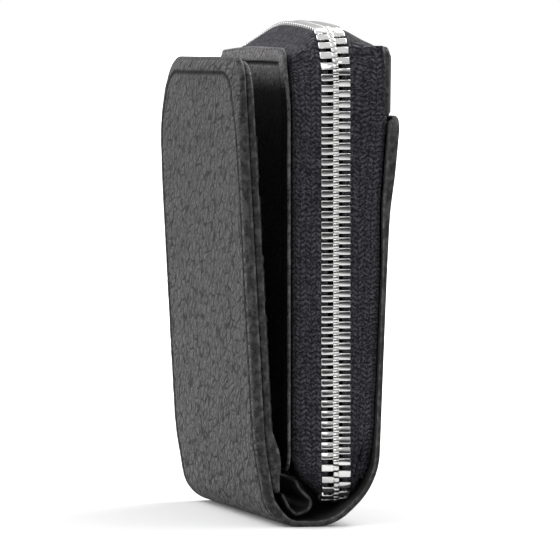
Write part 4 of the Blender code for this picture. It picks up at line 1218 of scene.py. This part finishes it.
class Profile:
    """A tape's rounded section of (x, out) points, read by distance along it."""

    def __init__(self, corners):
        path = rounded_path(corners)
        slopes = unit(np.gradient(path, axis=0))
        self.lengths = run_lengths(path)
        self.width = self.lengths[-1]
        self.values = np.stack([path[:, 0], path[:, 1], slopes[:, 1], -slopes[:, 0]])

    def at(self, across, depth=0.0):
        """Both coordinates at each distance, and so far off the section."""
        x, out, off_x, off_out = (np.interp(across, self.lengths, values) for values in self.values)
        return x + off_x * depth, out + off_out * depth


def tape_fold(x, z):
    """Relief of the tape's tuck low on the pouch, by distance across and height."""
    run = (TUCK_END[0] - TUCK_START[0], TUCK_END[1] - TUCK_START[1])
    beside = ((x - TUCK_START[0]) * run[1] - (z - TUCK_START[1]) * run[0]) / math.hypot(*run)
    relief = 0.7 * bell(beside, 0.55 * MM) - 1.1 * bell(beside - 0.95 * MM, 0.38 * MM)
    relief -= 0.6 * bell(beside + 1.05 * MM, 0.38 * MM)
    return MM * relief * smooth((TUCK_TOP - z) / (3.0 * MM))


def build_tape(side):
    """A woven tape from its seam under the leather out to the cord that the teeth grip."""
    word, body, plane, set_back = wall_values(side)
    wall = abs(plane - ZIP_PLANE) - POUCH_LEATHER - GAP - TAPE / 2
    rim_x = TOOTH_REACH + GAP
    low = -set_back - TAPE_LIP
    longest = TAPE_SEAM - TAPE_LIP
    steps = [(wall + (rim_x - wall) * share, low - (low + TAPE_RIM) * rise) for share, rise in TAPE_STEPS]
    profile = Profile([(wall, -set_back - TAPE_SEAM), *steps, (CORD_FROM_CENTRE, 0.0)])

    def place(across, along, depth):
        x, out = profile.at(across, depth - TAPE / 2)
        beside = smooth((np.abs(x) - rim_x) / (wall - rim_x))
        top = smooth((ZIP_LINE.at(along)[1] - TOP_LIFT_START) / TOP_LIFT_FADE)
        top = top * smooth((np.abs(x) - TOP_LIFT_CLEAR) / MM)
        out = out + top * (TOP_LIFT * (1.0 - beside) - TOP_SINK * beside)
        room = np.clip(zip_room(along) + low, 0.0, longest)
        out = out + np.clip(low - out, 0.0, None) * (1.0 - room / longest)
        return zip_place(along, side * x, out)

    columns = stations(0.0, profile.width, 0.8 * MM, 0.26 * MM, 0.0, 8.5 * MM)
    rows = stations(0.0, ZIP_LINE.length, 0.7 * MM, 0.35 * MM, TAPE_FINE_ENDS, TAPE_FINE_ENDS)
    grid = rounded_grid(columns, rows, 0.0)
    free = smooth((grid[0] - (profile.width - TAPE_FREE)) / (2.0 * MM))
    pucker = TAPE_PUCKER * ripple(*grid, 3.2 * MM, 40.0 + side) * free
    if side > 0:
        x = profile.at(grid[0])[0]
        pucker -= tape_fold(x, ZIP_LINE.at(grid[1])[1]) * free * smooth((x - rim_x) / (0.8 * MM))
    piece = add_sheet(f"zip_tape_{word}_weave", grid, place, pucker, TAPE + pucker, TAPE_FINISHES, TAPE / 2,
                      np.full(grid[0].shape, NO_RIM), 4)
    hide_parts(f"zip_tape_{word}")
    cut_cloth(piece, profile.width, ZIP_LINE.length)
    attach(piece, body)


def hem_thickness(along, beside):
    """Extra thickness of the rear leather's hem, by distance along it and from its side."""
    hem = HEM_THICKNESS * smooth((HEM_WIDTH - beside) / (0.5 * MM))
    return hem * smooth((along - (BACK_LINE.length - HEM_DEPTH)) / (HEM_DEPTH * HEM_FADE))


def rear_room(z):
    """How far back the rear leather's inner face lies at its sides, at a height."""
    along = np.linspace(BACK_LINE.length * 0.1, BACK_LINE.length, 400)
    x, height = BACK_LINE.beside(along, COVER_LEATHER + hem_thickness(along, 0.0))
    return np.interp(z, height, x)


def build_tape_selvage():
    """The back tape's selvage, which laps over the pouch's back wall and lies along the rear leather."""
    profile = Profile([(x * MM, out * MM) for x, out in SELVAGE_CORNERS])
    low, high = SELVAGE_FOOT, ZIP_TOP - BACK_TOP_SET_BACK

    def place(side):
        def side_place(across, z, depth):
            x, out = profile.at(across, -depth)
            beside = rear_room(z) - SELVAGE_GAP
            above = POUCH_BACK + belly(z) + BACK_FLARE - POUCH_LEATHER - SELVAGE_SHY
            x = beside + (above - beside) * smooth((z - SELVAGE_FREE) / (2.6 * MM)) + x
            out = out - SELVAGE_TUCK * smooth((SELVAGE_TUCK_START - z) / (10.0 * MM))
            out = out - 2.4 * MM * smooth((z - high + 4.0 * MM) / (4.0 * MM))
            y = side * (ZIP_HALF_DEPTH + out)
            points = framed(x, y, z)
            points[..., 2] = shape_pouch(x, y, z)[..., 2]
            return points
        return side_place

    for word, side in (("near", -1), ("far", 1)):
        grid = rounded_grid(stations(0.0, profile.width, 0.25 * MM), stations(low, high, 0.6 * MM), 0.0)
        wave = TAPE_PUCKER * ripple(*grid, 3.0 * MM, 51.0 + side)
        piece = add_sheet(f"zip_tape_selvage_{word}", grid, place(side), wave, wave + SELVAGE_CLOTH,
                          TAPE_FINISHES, SELVAGE_CLOTH / 2, np.full(grid[0].shape, NO_RIM), 4)
        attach(piece, "pouch_back")


def ring_faces(count, sides, closed):
    """Four-sided faces between rings of points that follow one another."""
    faces = []
    for ring in range(count if closed else count - 1):
        start, after = ring * sides, (ring + 1) % count * sides
        for i in range(sides):
            j = (i + 1) % sides
            faces.append((start + i, start + j, after + j, after + i))
    return faces


def tube(points, frames, radius, sides=8, closed=False):
    """A tube round a line of points, closed or capped; frames are two unit directions at each point."""
    angles = np.linspace(0.0, 2 * math.pi, sides, endpoint=False)
    radius = np.broadcast_to(radius, (len(points),))
    rings = [p + r * (math.cos(t) * a + math.sin(t) * b)
             for p, a, b, r in zip(points, *frames, radius) for t in angles]
    faces = ring_faces(len(points), sides, closed)
    if not closed:
        faces.append(tuple(range(sides))[::-1])
        faces.append(tuple(range((len(points) - 1) * sides, len(points) * sides)))
    return np.array(rings), faces


def tube_spots(along, sides, step):
    """Where on a tube's own surface its points lie: how far round it and how far along it."""
    return np.stack([np.tile(np.arange(sides) * step, len(along)), np.repeat(along, sides),
                     np.zeros(sides * len(along))], axis=-1)


def zip_frame(distance):
    """Travel and outward directions of the zip's line."""
    heading = ZIP_LINE.at(distance)[2]
    nothing, across, up = np.zeros_like(heading), np.cos(heading), np.sin(heading)
    return np.stack([nothing, across, up], axis=-1), np.stack([nothing, -up, across], axis=-1)


def prism(outline, axis, rise, bevel, segments, clamp=False):
    """A bmesh block that stands on an outline of points along one axis, with its ends rounded."""
    bm = bmesh.new()
    face = bm.faces.new([bm.verts.new(point) for point in outline])
    top = bmesh.ops.extrude_face_region(bm, geom=[face])["geom"]
    moved = [item for item in top if isinstance(item, bmesh.types.BMVert)]
    bmesh.ops.translate(bm, verts=moved, vec=[rise * (i == axis) for i in range(3)])
    bmesh.ops.recalc_face_normals(bm, faces=bm.faces)
    ends = [edge for edge in bm.edges if abs(edge.verts[0].co[axis] - edge.verts[1].co[axis]) < 1e-7]
    bmesh.ops.bevel(bm, geom=ends, offset=bevel, segments=segments, profile=0.5, affect="EDGES",
                    clamp_overlap=clamp)
    return bm


def taken_apart(bm):
    """The points and the faces of a bmesh, which is freed."""
    bm.verts.index_update()
    points = np.array([vert.co[:] for vert in bm.verts])
    faces = [[vert.index for vert in face.verts] for face in bm.faces]
    bm.free()
    return points, faces


def tooth_mesh():
    """One tooth along +X from the zip's centre: a rounded block with a broad round head and its dome."""
    outline = [(2.98, 0.58), (2.90, 0.70), (0.62, 0.70), (0.50, 0.56), (0.30, 0.515), (-0.40, 0.515)]
    outline += [(-0.53, 0.40), (-0.55, 0.0)] + [(x, -y) for x, y in reversed(outline + [(-0.53, 0.40)])]
    bm = prism([(x * MM, y * MM, -TOOTH_HALF_THICKNESS) for x, y in outline], 2, 2 * TOOTH_HALF_THICKNESS,
               TOOTH_BEVEL, 4, True)
    bmesh.ops.remove_doubles(bm, verts=bm.verts, dist=0.002 * MM)
    points, faces = taken_apart(bm)
    bm = bmesh.new()
    bmesh.ops.create_uvsphere(bm, u_segments=16, v_segments=10, radius=0.5 * MM)
    dome, dome_faces = taken_apart(bm)
    dome = dome / (0.5 * MM)
    dome = np.sign(dome) * np.abs(dome) ** 0.55 * DOME_SIZE + (0.0, 0.0, TOOTH_HALF_THICKNESS - 0.22 * MM)
    return np.concatenate([points, dome]), faces + [[i + len(points) for i in face] for face in dome_faces]


def build_teeth(side):
    """One row of polished teeth on its cord."""
    word, body, _, _ = wall_values(side)
    start = STOP_LENGTH + GAP
    end = SLIDER_DISTANCE - side * SLIDER_LENGTH / 2 - GAP
    tooth, tooth_faces = tooth_mesh()
    points, faces = [], []
    number = math.ceil((start + FIRST_TOOTH) / TOOTH_PITCH)
    while number * TOOTH_PITCH + TOOTH_PITCH / 4 * side + TOOTH_HALF_WIDTH < end:
        middle = number * TOOTH_PITCH + TOOTH_PITCH / 4 * side
        y, z, _ = ZIP_LINE.at(middle)
        travel, outward = zip_frame(middle)
        share = float(np.clip((z - ZIP_MIDDLE) / (ZIP_MIDDLE - ZIP_BOTTOM), -1.0, 1.0))
        tilt = -TOOTH_TILT * share * abs(share) * math.copysign(1.0, float(outward[1]))
        travel, outward = (travel * math.cos(tilt) + outward * math.sin(tilt),
                           outward * math.cos(tilt) - travel * math.sin(tilt))
        sway = TOOTH_SWAY * noise.noise(Vector((number * 1.7, side, 0.0)))
        local = travel * (tooth[:, 1:2] + sway) + outward * tooth[:, 2:3]
        begun = len(points) * len(tooth)
        faces += [[begun + i for i in face] for face in tooth_faces]
        lean = foot_lean(middle)
        points.append(shape_pouch(ZIP_PLANE + lean + side * tooth[:, 0], y + local[:, 1],
                                  z - FOOT_SINK * lean + local[:, 2]))
        number += 1
    row = add_mesh(f"zip_teeth_{word}_row", np.concatenate(points), faces, ["zip_metal"])
    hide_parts(f"zip_teeth_{word}")
    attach(row, body)

    along = stations(start, end, 0.55 * MM)
    across = np.tile([side, 0.0, 0.0], (len(along), 1)).astype(float)
    twist = CORD_RADIUS * (1.0 + 0.05 * np.sin(along / (0.5 * MM)))
    points, faces = tube(zip_place(along, side * CORD_FROM_CENTRE, 0.0), (across, zip_frame(along)[1]), twist,
                         CORD_SIDES)
    spots = tube_spots(along, CORD_SIDES, 0.4 * MM)
    cord = add_mesh(f"zip_cord_{word}", points, faces, ["tape_weave"], None,
                    {"spot": spots, "rim": np.full(len(points), NO_RIM)})
    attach(cord, body)


def metal_piece(name, bm, look="slider_metal"):
    """A bmesh as a smooth metal piece."""
    bmesh.ops.recalc_face_normals(bm, faces=bm.faces)
    mesh = bpy.data.meshes.new(name)
    bm.to_mesh(mesh)
    bm.free()
    mesh.materials.append(finish(look))
    mesh.shade_smooth()
    mesh.set_sharp_from_angle(angle=math.radians(50.0))
    return placed(name, mesh)


def soft_block(name, low, high, bevel, look="slider_metal", segments=2):
    """A block between two corners of the section frame, with rounded edges."""
    bm = bmesh.new()
    bmesh.ops.create_cube(bm, size=1.0)
    for vert in bm.verts:
        vert.co = SHIFT + Vector([low[i] + (high[i] - low[i]) * (vert.co[i] + 0.5) for i in range(3)])
    bmesh.ops.bevel(bm, geom=list(bm.edges), offset=bevel, segments=segments, profile=0.5, affect="EDGES")
    return metal_piece(name, bm, look)


def build_stops():
    """The bottom stop that joins both rows, and a top stop on each tape."""
    for node_name, body in (("zip_bottom_stop", "spine"), ("zip_top_stop_front", "spine"),
                            ("zip_top_stop_back", "pouch_back")):
        low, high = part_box(node_name)
        lean = FOOT_LEAN if node_name == "zip_bottom_stop" else 0.0
        moved = Vector((lean, 0.0, -FOOT_SINK * lean)) - SHIFT
        piece = soft_block(node_name + "_clip", low + moved, high + moved, 0.35 * MM, "zip_metal", 3)
        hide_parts(node_name)
        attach(piece, body)


def slab(outline, y_low, y_high, bevel):
    """A bmesh plate from an outline in the XZ plane, with rounded edges."""
    return prism([(x + SHIFT.x, y_low + SHIFT.y, z) for x, z in outline], 1, y_high - y_low, bevel, 3)


def both_halves(right):
    """A whole outline in the XZ plane, from its right half and from its mirror image in the zip's plane."""
    return [(ZIP_PLANE + x, z) for x, z in right] + [(ZIP_PLANE - x, z) for x, z in reversed(right)]


def slider_outline(width, tail_width, length):
    """A slider plate from above: wide at its mouths, narrow at its tail and round at its corners."""
    def corner(wide, end, turns):
        x, z = wide / 2 - SLIDER_CORNER, SLIDER_Z + end * (length / 2 - SLIDER_CORNER)
        return [(x + SLIDER_CORNER * math.cos(angle), z + SLIDER_CORNER * math.sin(angle)) for angle in turns]

    mouth = corner(width, -1, np.linspace(-math.pi / 2, 0.0, 7))
    tail = corner(tail_width, 1, np.linspace(0.0, math.pi / 2, 7))
    return both_halves(mouth + [(width / 2 - 0.15 * MM, SLIDER_Z)] + tail)


def join_pieces(name, pieces):
    """Join several pieces into the first one."""
    with bpy.context.temp_override(active_object=pieces[0], selected_editable_objects=pieces):
        bpy.ops.object.join()
    pieces[0].name = name
    return pieces[0]


def lofted(rings, closed):
    """A bmesh with faces from ring to ring of points, closed in a loop or capped."""
    bm = bmesh.new()
    count, sides = len(rings), len(rings[0])
    verts = [bm.verts.new(point) for ring in rings for point in ring]
    for face in ring_faces(count, sides, closed):
        bm.faces.new([verts[i] for i in face])
    if not closed:
        bm.faces.new(verts[:sides])
        bm.faces.new(verts[-sides:])
    bmesh.ops.recalc_face_normals(bm, faces=bm.faces)
    return bm


def strap(name, line, width, thickness):
    """A flat strap that follows a line of points in the YZ plane, centred on the zip."""
    wide, thick = width / 2, thickness / 2
    corners = ((-wide, -thick), (wide, -thick), (wide, thick), (-wide, thick))
    rings = [[(ZIP_PLANE + x + SHIFT.x, y - dz * n + SHIFT.y, z + dy * n) for x, n in corners]
             for (y, z), (dy, dz) in zip(line, unit(np.gradient(line, axis=0)))]
    bm = lofted(rings, False)
    long = [edge for edge in bm.edges if edge.calc_face_angle(0.0) > math.radians(60.0)]
    bmesh.ops.bevel(bm, geom=long, offset=0.2 * MM, segments=2, profile=0.5, affect="EDGES")
    return metal_piece(name, bm)


def build_slider():
    """The slider's outer plate with its flanges and bridge, and its inner plate."""
    surface = ZIP_HALF_DEPTH + TOOTH_HALF_THICKNESS + GAP
    top = surface + SLIDER_PLATE
    outline = slider_outline(SLIDER_WIDTH, SLIDER_TAIL_WIDTH, SLIDER_LENGTH)
    parts = [metal_piece("zip_slider_body", slab(outline, surface, top, 0.25 * MM))]
    reach = SLIDER_LENGTH / 2 - 2.0 * MM
    for side in (-1, 1):
        xs = sorted((ZIP_PLANE + side * (TOOTH_REACH + GAP), ZIP_PLANE + side * SLIDER_TAIL_WIDTH / 2))
        parts.append(soft_block(f"flange_{side}", (xs[0], surface - SLIDER_FLANGE_DROP, SLIDER_Z - reach),
                                (xs[1], surface + SLIDER_PLATE / 2, SLIDER_Z + reach), 0.12 * MM))
    low, high = SLIDER_Z - (BRIDGE_LENGTH - BRIDGE_WALL) / 2, SLIDER_Z + (BRIDGE_LENGTH - BRIDGE_WALL) / 2
    root, crest = top - 0.2 * MM, top + BRIDGE_GAP + BRIDGE_WALL / 2
    corners = [(root, low), (crest, low), (crest, high), (root, high)]
    parts.append(strap("bridge", rounded_path(corners), BRIDGE_WIDTH, BRIDGE_WALL))
    slider = join_pieces("zip_slider_body", parts)
    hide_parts("zip_slider")
    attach(slider, "slider")

    under = ZIP_HALF_DEPTH - TOOTH_HALF_THICKNESS - GAP
    outline = slider_outline(2 * TOOTH_REACH, 2 * (TOOTH_REACH - GAP), SLIDER_LENGTH - 1.0 * MM)
    plate = metal_piece("zip_slider_back", slab(outline, under - SLIDER_PLATE, under, 0.2 * MM))
    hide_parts("zip_slider_inner_plate")
    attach(plate, "slider")
    return top + BRIDGE_GAP / 2


def build_pull(pin_y):
    """The wire link and the flat tab that hangs from it."""
    foot = SLIDER_Z - PULL_LINK_LENGTH + 2 * PULL_PIN
    line = round_loop((0.0, SLIDER_Z), PULL_LINK_WIDTH / 2 - PULL_PIN, SLIDER_Z - foot,
                      (PULL_LINK_CORNER, PULL_LINK_CORNER), -math.pi / 2, math.radians(15.0))
    x, z, turn = line.at(np.linspace(0.0, line.length, 97)[:-1])
    outward = np.stack([-np.sin(turn), 0.0 * turn, np.cos(turn)], axis=-1)
    sideways = np.tile([0.0, 1.0, 0.0], (len(turn), 1))
    points, faces = tube(framed(ZIP_PLANE + x, pin_y, z), (outward, sideways), PULL_PIN, 12, True)
    link = add_mesh("pull_link_wire", points, faces, ["slider_metal"])
    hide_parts("pull_link")
    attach(link, "pull")

    shoulder = foot - PULL_BARREL - GAP
    low = shoulder - PULL_TAB_LENGTH
    wide, neck, thick = PULL_TAB_WIDTH / 2, PULL_TAB_NECK / 2, PULL_TAB_THICKNESS / 2
    outline = both_halves([(wide * 0.35, low), (wide * 0.7, low + 0.35 * MM), (wide * 0.93, low + 1.1 * MM),
                           (wide, low + 2.2 * MM), (wide * 0.8, shoulder - 0.3 * MM), (wide * 0.7, shoulder),
                           (neck, shoulder + 0.1 * MM), (neck, foot - PULL_PIN - GAP)])
    plate = metal_piece("pull_tab_plate", slab(outline, pin_y - thick, pin_y + thick, 0.22 * MM))
    rims = ((PULL_PIN + 0.3 * MM, -1), (PULL_BARREL - 0.15 * MM, -1), (PULL_BARREL, -0.86),
            (PULL_BARREL, 0.86), (PULL_BARREL - 0.15 * MM, 1), (PULL_PIN + 0.3 * MM, 1))
    turns = np.linspace(0.0, 2 * math.pi, 25)[:-1]
    barrel = lofted([[(ZIP_PLANE + x * neck + SHIFT.x, pin_y + radius * math.cos(t) + SHIFT.y,
                       foot + radius * math.sin(t)) for t in turns] for radius, x in rims], True)
    tab = join_pieces("pull_tab_plate", [plate, metal_piece("pull_tab_roll", barrel)])
    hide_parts("pull_tab")
    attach(tab, "pull")


def build_stitches(name, body, points, normals):
    """Sewn stitches along a line of surface points, each a short thread that dips in at its ends."""
    size = sizes()
    lengths = run_lengths(points)
    count = max(2, round(lengths[-1] / size.stitch_pitch))
    pitch = lengths[-1] / count
    radius = size.stitch_thread / 2
    shares = np.linspace(-1.0, 1.0, 9)
    arch = radius * (1.15 - 2.1 * np.abs(shares) ** 4)
    thick = radius * (1.0 - 0.35 * np.abs(shares) ** 3)
    rings, faces, spots = [], [], []
    for number in range(count):
        along = (number + 0.5) * pitch + shares * pitch * STITCH_SHARE
        line, up = (np.stack([np.interp(along, lengths, values[:, i]) for i in range(3)], axis=-1)
                    for values in (points, normals))
        up = unit(up)
        line = line + up * arch[:, None]
        ring, tube_faces = tube(line, (np.cross(unit(np.gradient(line, axis=0)), up), up), thick,
                                THREAD_SIDES)
        faces += [tuple(number * len(ring) + i for i in face) for face in tube_faces]
        rings.append(ring)
        spots.append(tube_spots(along, THREAD_SIDES, 0.8)[:, [1, 0, 2]])
    rings = np.concatenate(rings)
    piece = add_mesh(name, rings, faces, ["sewing_thread"], None,
                     {"spot": np.concatenate(spots), "rim": np.zeros(len(rings))})
    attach(piece, body)


def build_pouch_stitches():
    """The seam that holds the tape to the pouch's back wall, in the border crease."""
    beside = POUCH_LEATHER / 2 + sizes().crease_inset
    low, high = ZIP_BOTTOM + POUCH_SET_BACK + beside, ZIP_TOP - BACK_TOP_SET_BACK - beside
    line = round_loop((0.0, low), ZIP_HALF_DEPTH - POUCH_BACK_SET_BACK - beside, high - low,
                      (SEAM_CORNER, SEAM_CORNER), math.pi / 2)
    y, z, _ = line.at(stations(0.0, line.length, 0.5 * MM))
    depth = sizes().crease_depth * 0.6
    points, deeper = (wall_place(1)(y, z, depth + more) for more in (0.0, 1.0 * MM))
    build_stitches("pouch_back_stitches", "pouch_back", points, points - deeper)


def build_pocket_stitches():
    """Seams down both sides of the card pockets."""
    for side, word in ((-1, "near"), (1, "far")):
        foot, top = flap_start() + POCKET_FOOT, flap_start() + POCKET_TOP
        along = stations(foot + 1.0 * MM, top - 1.0 * MM, 0.8 * MM)
        depths = np.zeros_like(along)
        for number in range(POCKETS):
            foot, top, last = pocket_span(number)
            depth = pocket_depth(along, top, last) + POCKET_LEATHER
            depths = np.where((along >= foot) & (along <= top), np.maximum(depths, depth), depths)
        y = np.full_like(along, side * (POCKET_WIDTH / 2 - POCKET_SEAM))
        points, shallower = front_place(y, along, depths), front_place(y, along, depths - 1.0 * MM)
        build_stitches(f"card_pocket_stitches_{word}", "flap", points, points - shallower)


def soft_lamp(name, place, target, size, power):
    """A soft white lamp that faces a point."""
    lamp = bpy.data.lights.new(name, "AREA")
    lamp.shape = "RECTANGLE"
    lamp.size, lamp.size_y = size
    lamp.energy = power
    holder = placed(name, lamp)
    holder.location = place
    holder.rotation_euler = (Vector(target) - Vector(place)).to_track_quat("-Z", "Y").to_euler()


def camera_seen(wires):
    """1 for what the camera sees, straight on or through glass."""
    path = wires.add("LightPath")
    return wires.maths("MAXIMUM", path["Is Camera Ray"], path["Is Transmission Ray"])


def studio_finish():
    """Floor that shows white to the camera but keeps the shadow near the wallet, and bounces little light."""
    made = bpy.data.materials.new("studio_white")
    made.use_nodes = True
    nodes = made.node_tree.nodes
    nodes.remove(nodes["Principled BSDF"])
    wires = Wiring(made.node_tree)
    away = wires.add("VectorMath", {0: wires.add("TexCoord")["Object"]}, operation="LENGTH")["Value"]
    glow = wires.add("Emission", {"Color": (1.0, 1.0, 1.0),
                                  "Strength": wires.remap(away, FLOOR_NEAR, 0.8, FLOOR_GLOW, 1.0)})[0]
    seen = wires.add("BsdfDiffuse", {"Color": tuple(colours().studio)})[0]
    both = wires.add("AddShader", {0: seen, 1: glow})[0]
    shade = wires.shades(wires.remap(away, FLOOR_NEAR, 0.7), colours().studio, FLOOR_BOUNCE, FLOOR_BOUNCE / 6)
    dull = wires.add("BsdfDiffuse", {"Color": shade})[0]
    mix = wires.add("MixShader", {0: camera_seen(wires), 1: dull, 2: both})[0]
    wires.join(mix, nodes["Material Output"].inputs["Surface"])
    return made


def build_world():
    """White tent round the wallet with a dark opening in front, where the camera stands."""
    world = bpy.data.worlds.new("studio_world")
    bpy.context.scene.world = world
    world.use_nodes = True
    wires = Wiring(world.node_tree)
    towards = wires.add("TexCoord")["Generated"]
    facing = wires.vector("DOT_PRODUCT", towards, OPENING_WAY, "Value")
    up = wires.parts(towards)["Z"]
    opening = wires.times(wires.remap(facing, 0.0, 0.7), wires.remap(up, 0.1, 0.26, 1.0, 0.0))
    beside = wires.vector("DOT_PRODUCT", towards, BRIGHT_WAY, "Value")
    tent = wires.remap(up, 0.0, 0.9, TENT_LOW, TENT_HIGH)
    tent = wires.maths("ADD", tent, wires.remap(beside, 0.3, 0.95, 0.0, TENT_LEFT))
    tent = wires.times(tent, wires.line(opening, -0.92, 1.0))
    background = world.node_tree.nodes["Background"].inputs
    wires.join((1.0, 1.0, 1.0), background["Color"])
    wires.join(wires.remap(camera_seen(wires), 0.0, 1.0, tent, 1.0, "LINEAR"), background["Strength"])


def build_studio():
    """Floor, white world, soft lamps and the camera."""
    scene = bpy.context.scene
    mesh = bpy.data.meshes.new("studio_floor")
    bm = bmesh.new()
    bmesh.ops.create_circle(bm, cap_ends=True, segments=96, radius=90.0)
    bm.to_mesh(mesh)
    bm.free()
    mesh.materials.append(studio_finish())
    floor = placed("studio_floor", mesh)
    build_world()

    for name, values in LAMPS.items():
        soft_lamp(name, *values)

    camera = bpy.data.cameras.new("studio_camera")
    camera.sensor_width = 36.0
    camera.lens = CAMERA_LENS
    camera.clip_start = 0.05
    camera.clip_end = 200.0
    scene.camera = placed("studio_camera", camera)
    scene.camera.location = CAMERA_PLACE
    scene.camera.rotation_euler = (math.radians(90.0 - CAMERA_DIP), 0.0, math.radians(-CAMERA_TURN))
    scene.view_settings.view_transform = "Standard"


class WALLET_OT_outer_leather(bpy.types.Operator):
    """Build the pebbled leather of the flap, the spine and the back."""

    bl_idname = "wallet.outer_leather"
    bl_label = "Outer leather"

    def execute(self, context):
        build_front_leather()
        build_rear_leather()
        return {"FINISHED"}


class WALLET_OT_flap_inside(bpy.types.Operator):
    """Build the flap's inner panel and its card pockets."""

    bl_idname = "wallet.flap_inside"
    bl_label = "Flap inside"

    def execute(self, context):
        build_card_panel()
        build_card_pockets()
        build_pocket_stitches()
        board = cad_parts["flap_board"]
        board.data.materials.clear()
        board.data.materials.append(finish("grey_board"))
        return {"FINISHED"}


class WALLET_OT_fold_gusset(bpy.types.Operator):
    """Build the loop of leather in the fold."""

    bl_idname = "wallet.fold_gusset"
    bl_label = "Fold gusset"

    def execute(self, context):
        build_fold_gusset()
        return {"FINISHED"}


class WALLET_OT_pouch(bpy.types.Operator):
    """Build the pouch's leather walls, linings, floor and seams."""

    bl_idname = "wallet.pouch"
    bl_label = "Coin pouch"

    def execute(self, context):
        for side in (-1, 1):
            build_pouch_leather(side)
            build_pouch_lining(side)
        build_pouch_floor()
        build_pouch_stitches()
        return {"FINISHED"}


class WALLET_OT_zip_rows(bpy.types.Operator):
    """Build the woven tapes, the rows of teeth and the stops."""

    bl_idname = "wallet.zip_rows"
    bl_label = "Zip tapes and teeth"

    def execute(self, context):
        for side in (-1, 1):
            build_tape(side)
            build_teeth(side)
        build_tape_selvage()
        build_stops()
        return {"FINISHED"}


class WALLET_OT_slider(bpy.types.Operator):
    """Build the slider and its pull."""

    bl_idname = "wallet.slider"
    bl_label = "Slider and pull"

    def execute(self, context):
        build_pull(build_slider())
        return {"FINISHED"}


class WALLET_OT_studio(bpy.types.Operator):
    """Build the floor, the lamps and the camera."""

    bl_idname = "wallet.studio"
    bl_label = "Studio"

    def execute(self, context):
        build_studio()
        return {"FINISHED"}


OPERATORS = [
    WALLET_OT_studio,
    WALLET_OT_outer_leather,
    WALLET_OT_flap_inside,
    WALLET_OT_fold_gusset,
    WALLET_OT_pouch,
    WALLET_OT_zip_rows,
    WALLET_OT_slider,
]


class WALLET_PT_builder(bpy.types.Panel):
    """Lists the wallet's pieces, sizes and colours."""

    bl_idname = "WALLET_PT_builder"
    bl_label = "Zip Wallet"
    bl_space_type = "VIEW_3D"
    bl_region_type = "UI"
    bl_category = "Wallet"

    def draw(self, context):
        layout = self.layout
        for settings in (context.scene.wallet_sizes, context.scene.wallet_colours):
            for key in type(settings).__annotations__:
                layout.prop(settings, key)
        for operator in OPERATORS:
            layout.operator(operator.bl_idname)


CLASSES = [WalletSizes, WalletColours] + OPERATORS + [WALLET_PT_builder]


def register():
    """Register the classes and the scene's settings."""
    for kind in CLASSES:
        bpy.utils.register_class(kind)
    bpy.types.Scene.wallet_sizes = bpy.props.PointerProperty(type=WalletSizes)
    bpy.types.Scene.wallet_colours = bpy.props.PointerProperty(type=WalletColours)


def unregister():
    """Remove the scene's settings and the classes."""
    del bpy.types.Scene.wallet_colours
    del bpy.types.Scene.wallet_sizes
    for kind in reversed(CLASSES):
        bpy.utils.unregister_class(kind)


def main():
    """Build every piece in order."""
    register()
    for operator in OPERATORS:
        name = operator.bl_idname.split(".")[1]
        getattr(bpy.ops.wallet, name)()


if __name__ == "__main__":
    main()
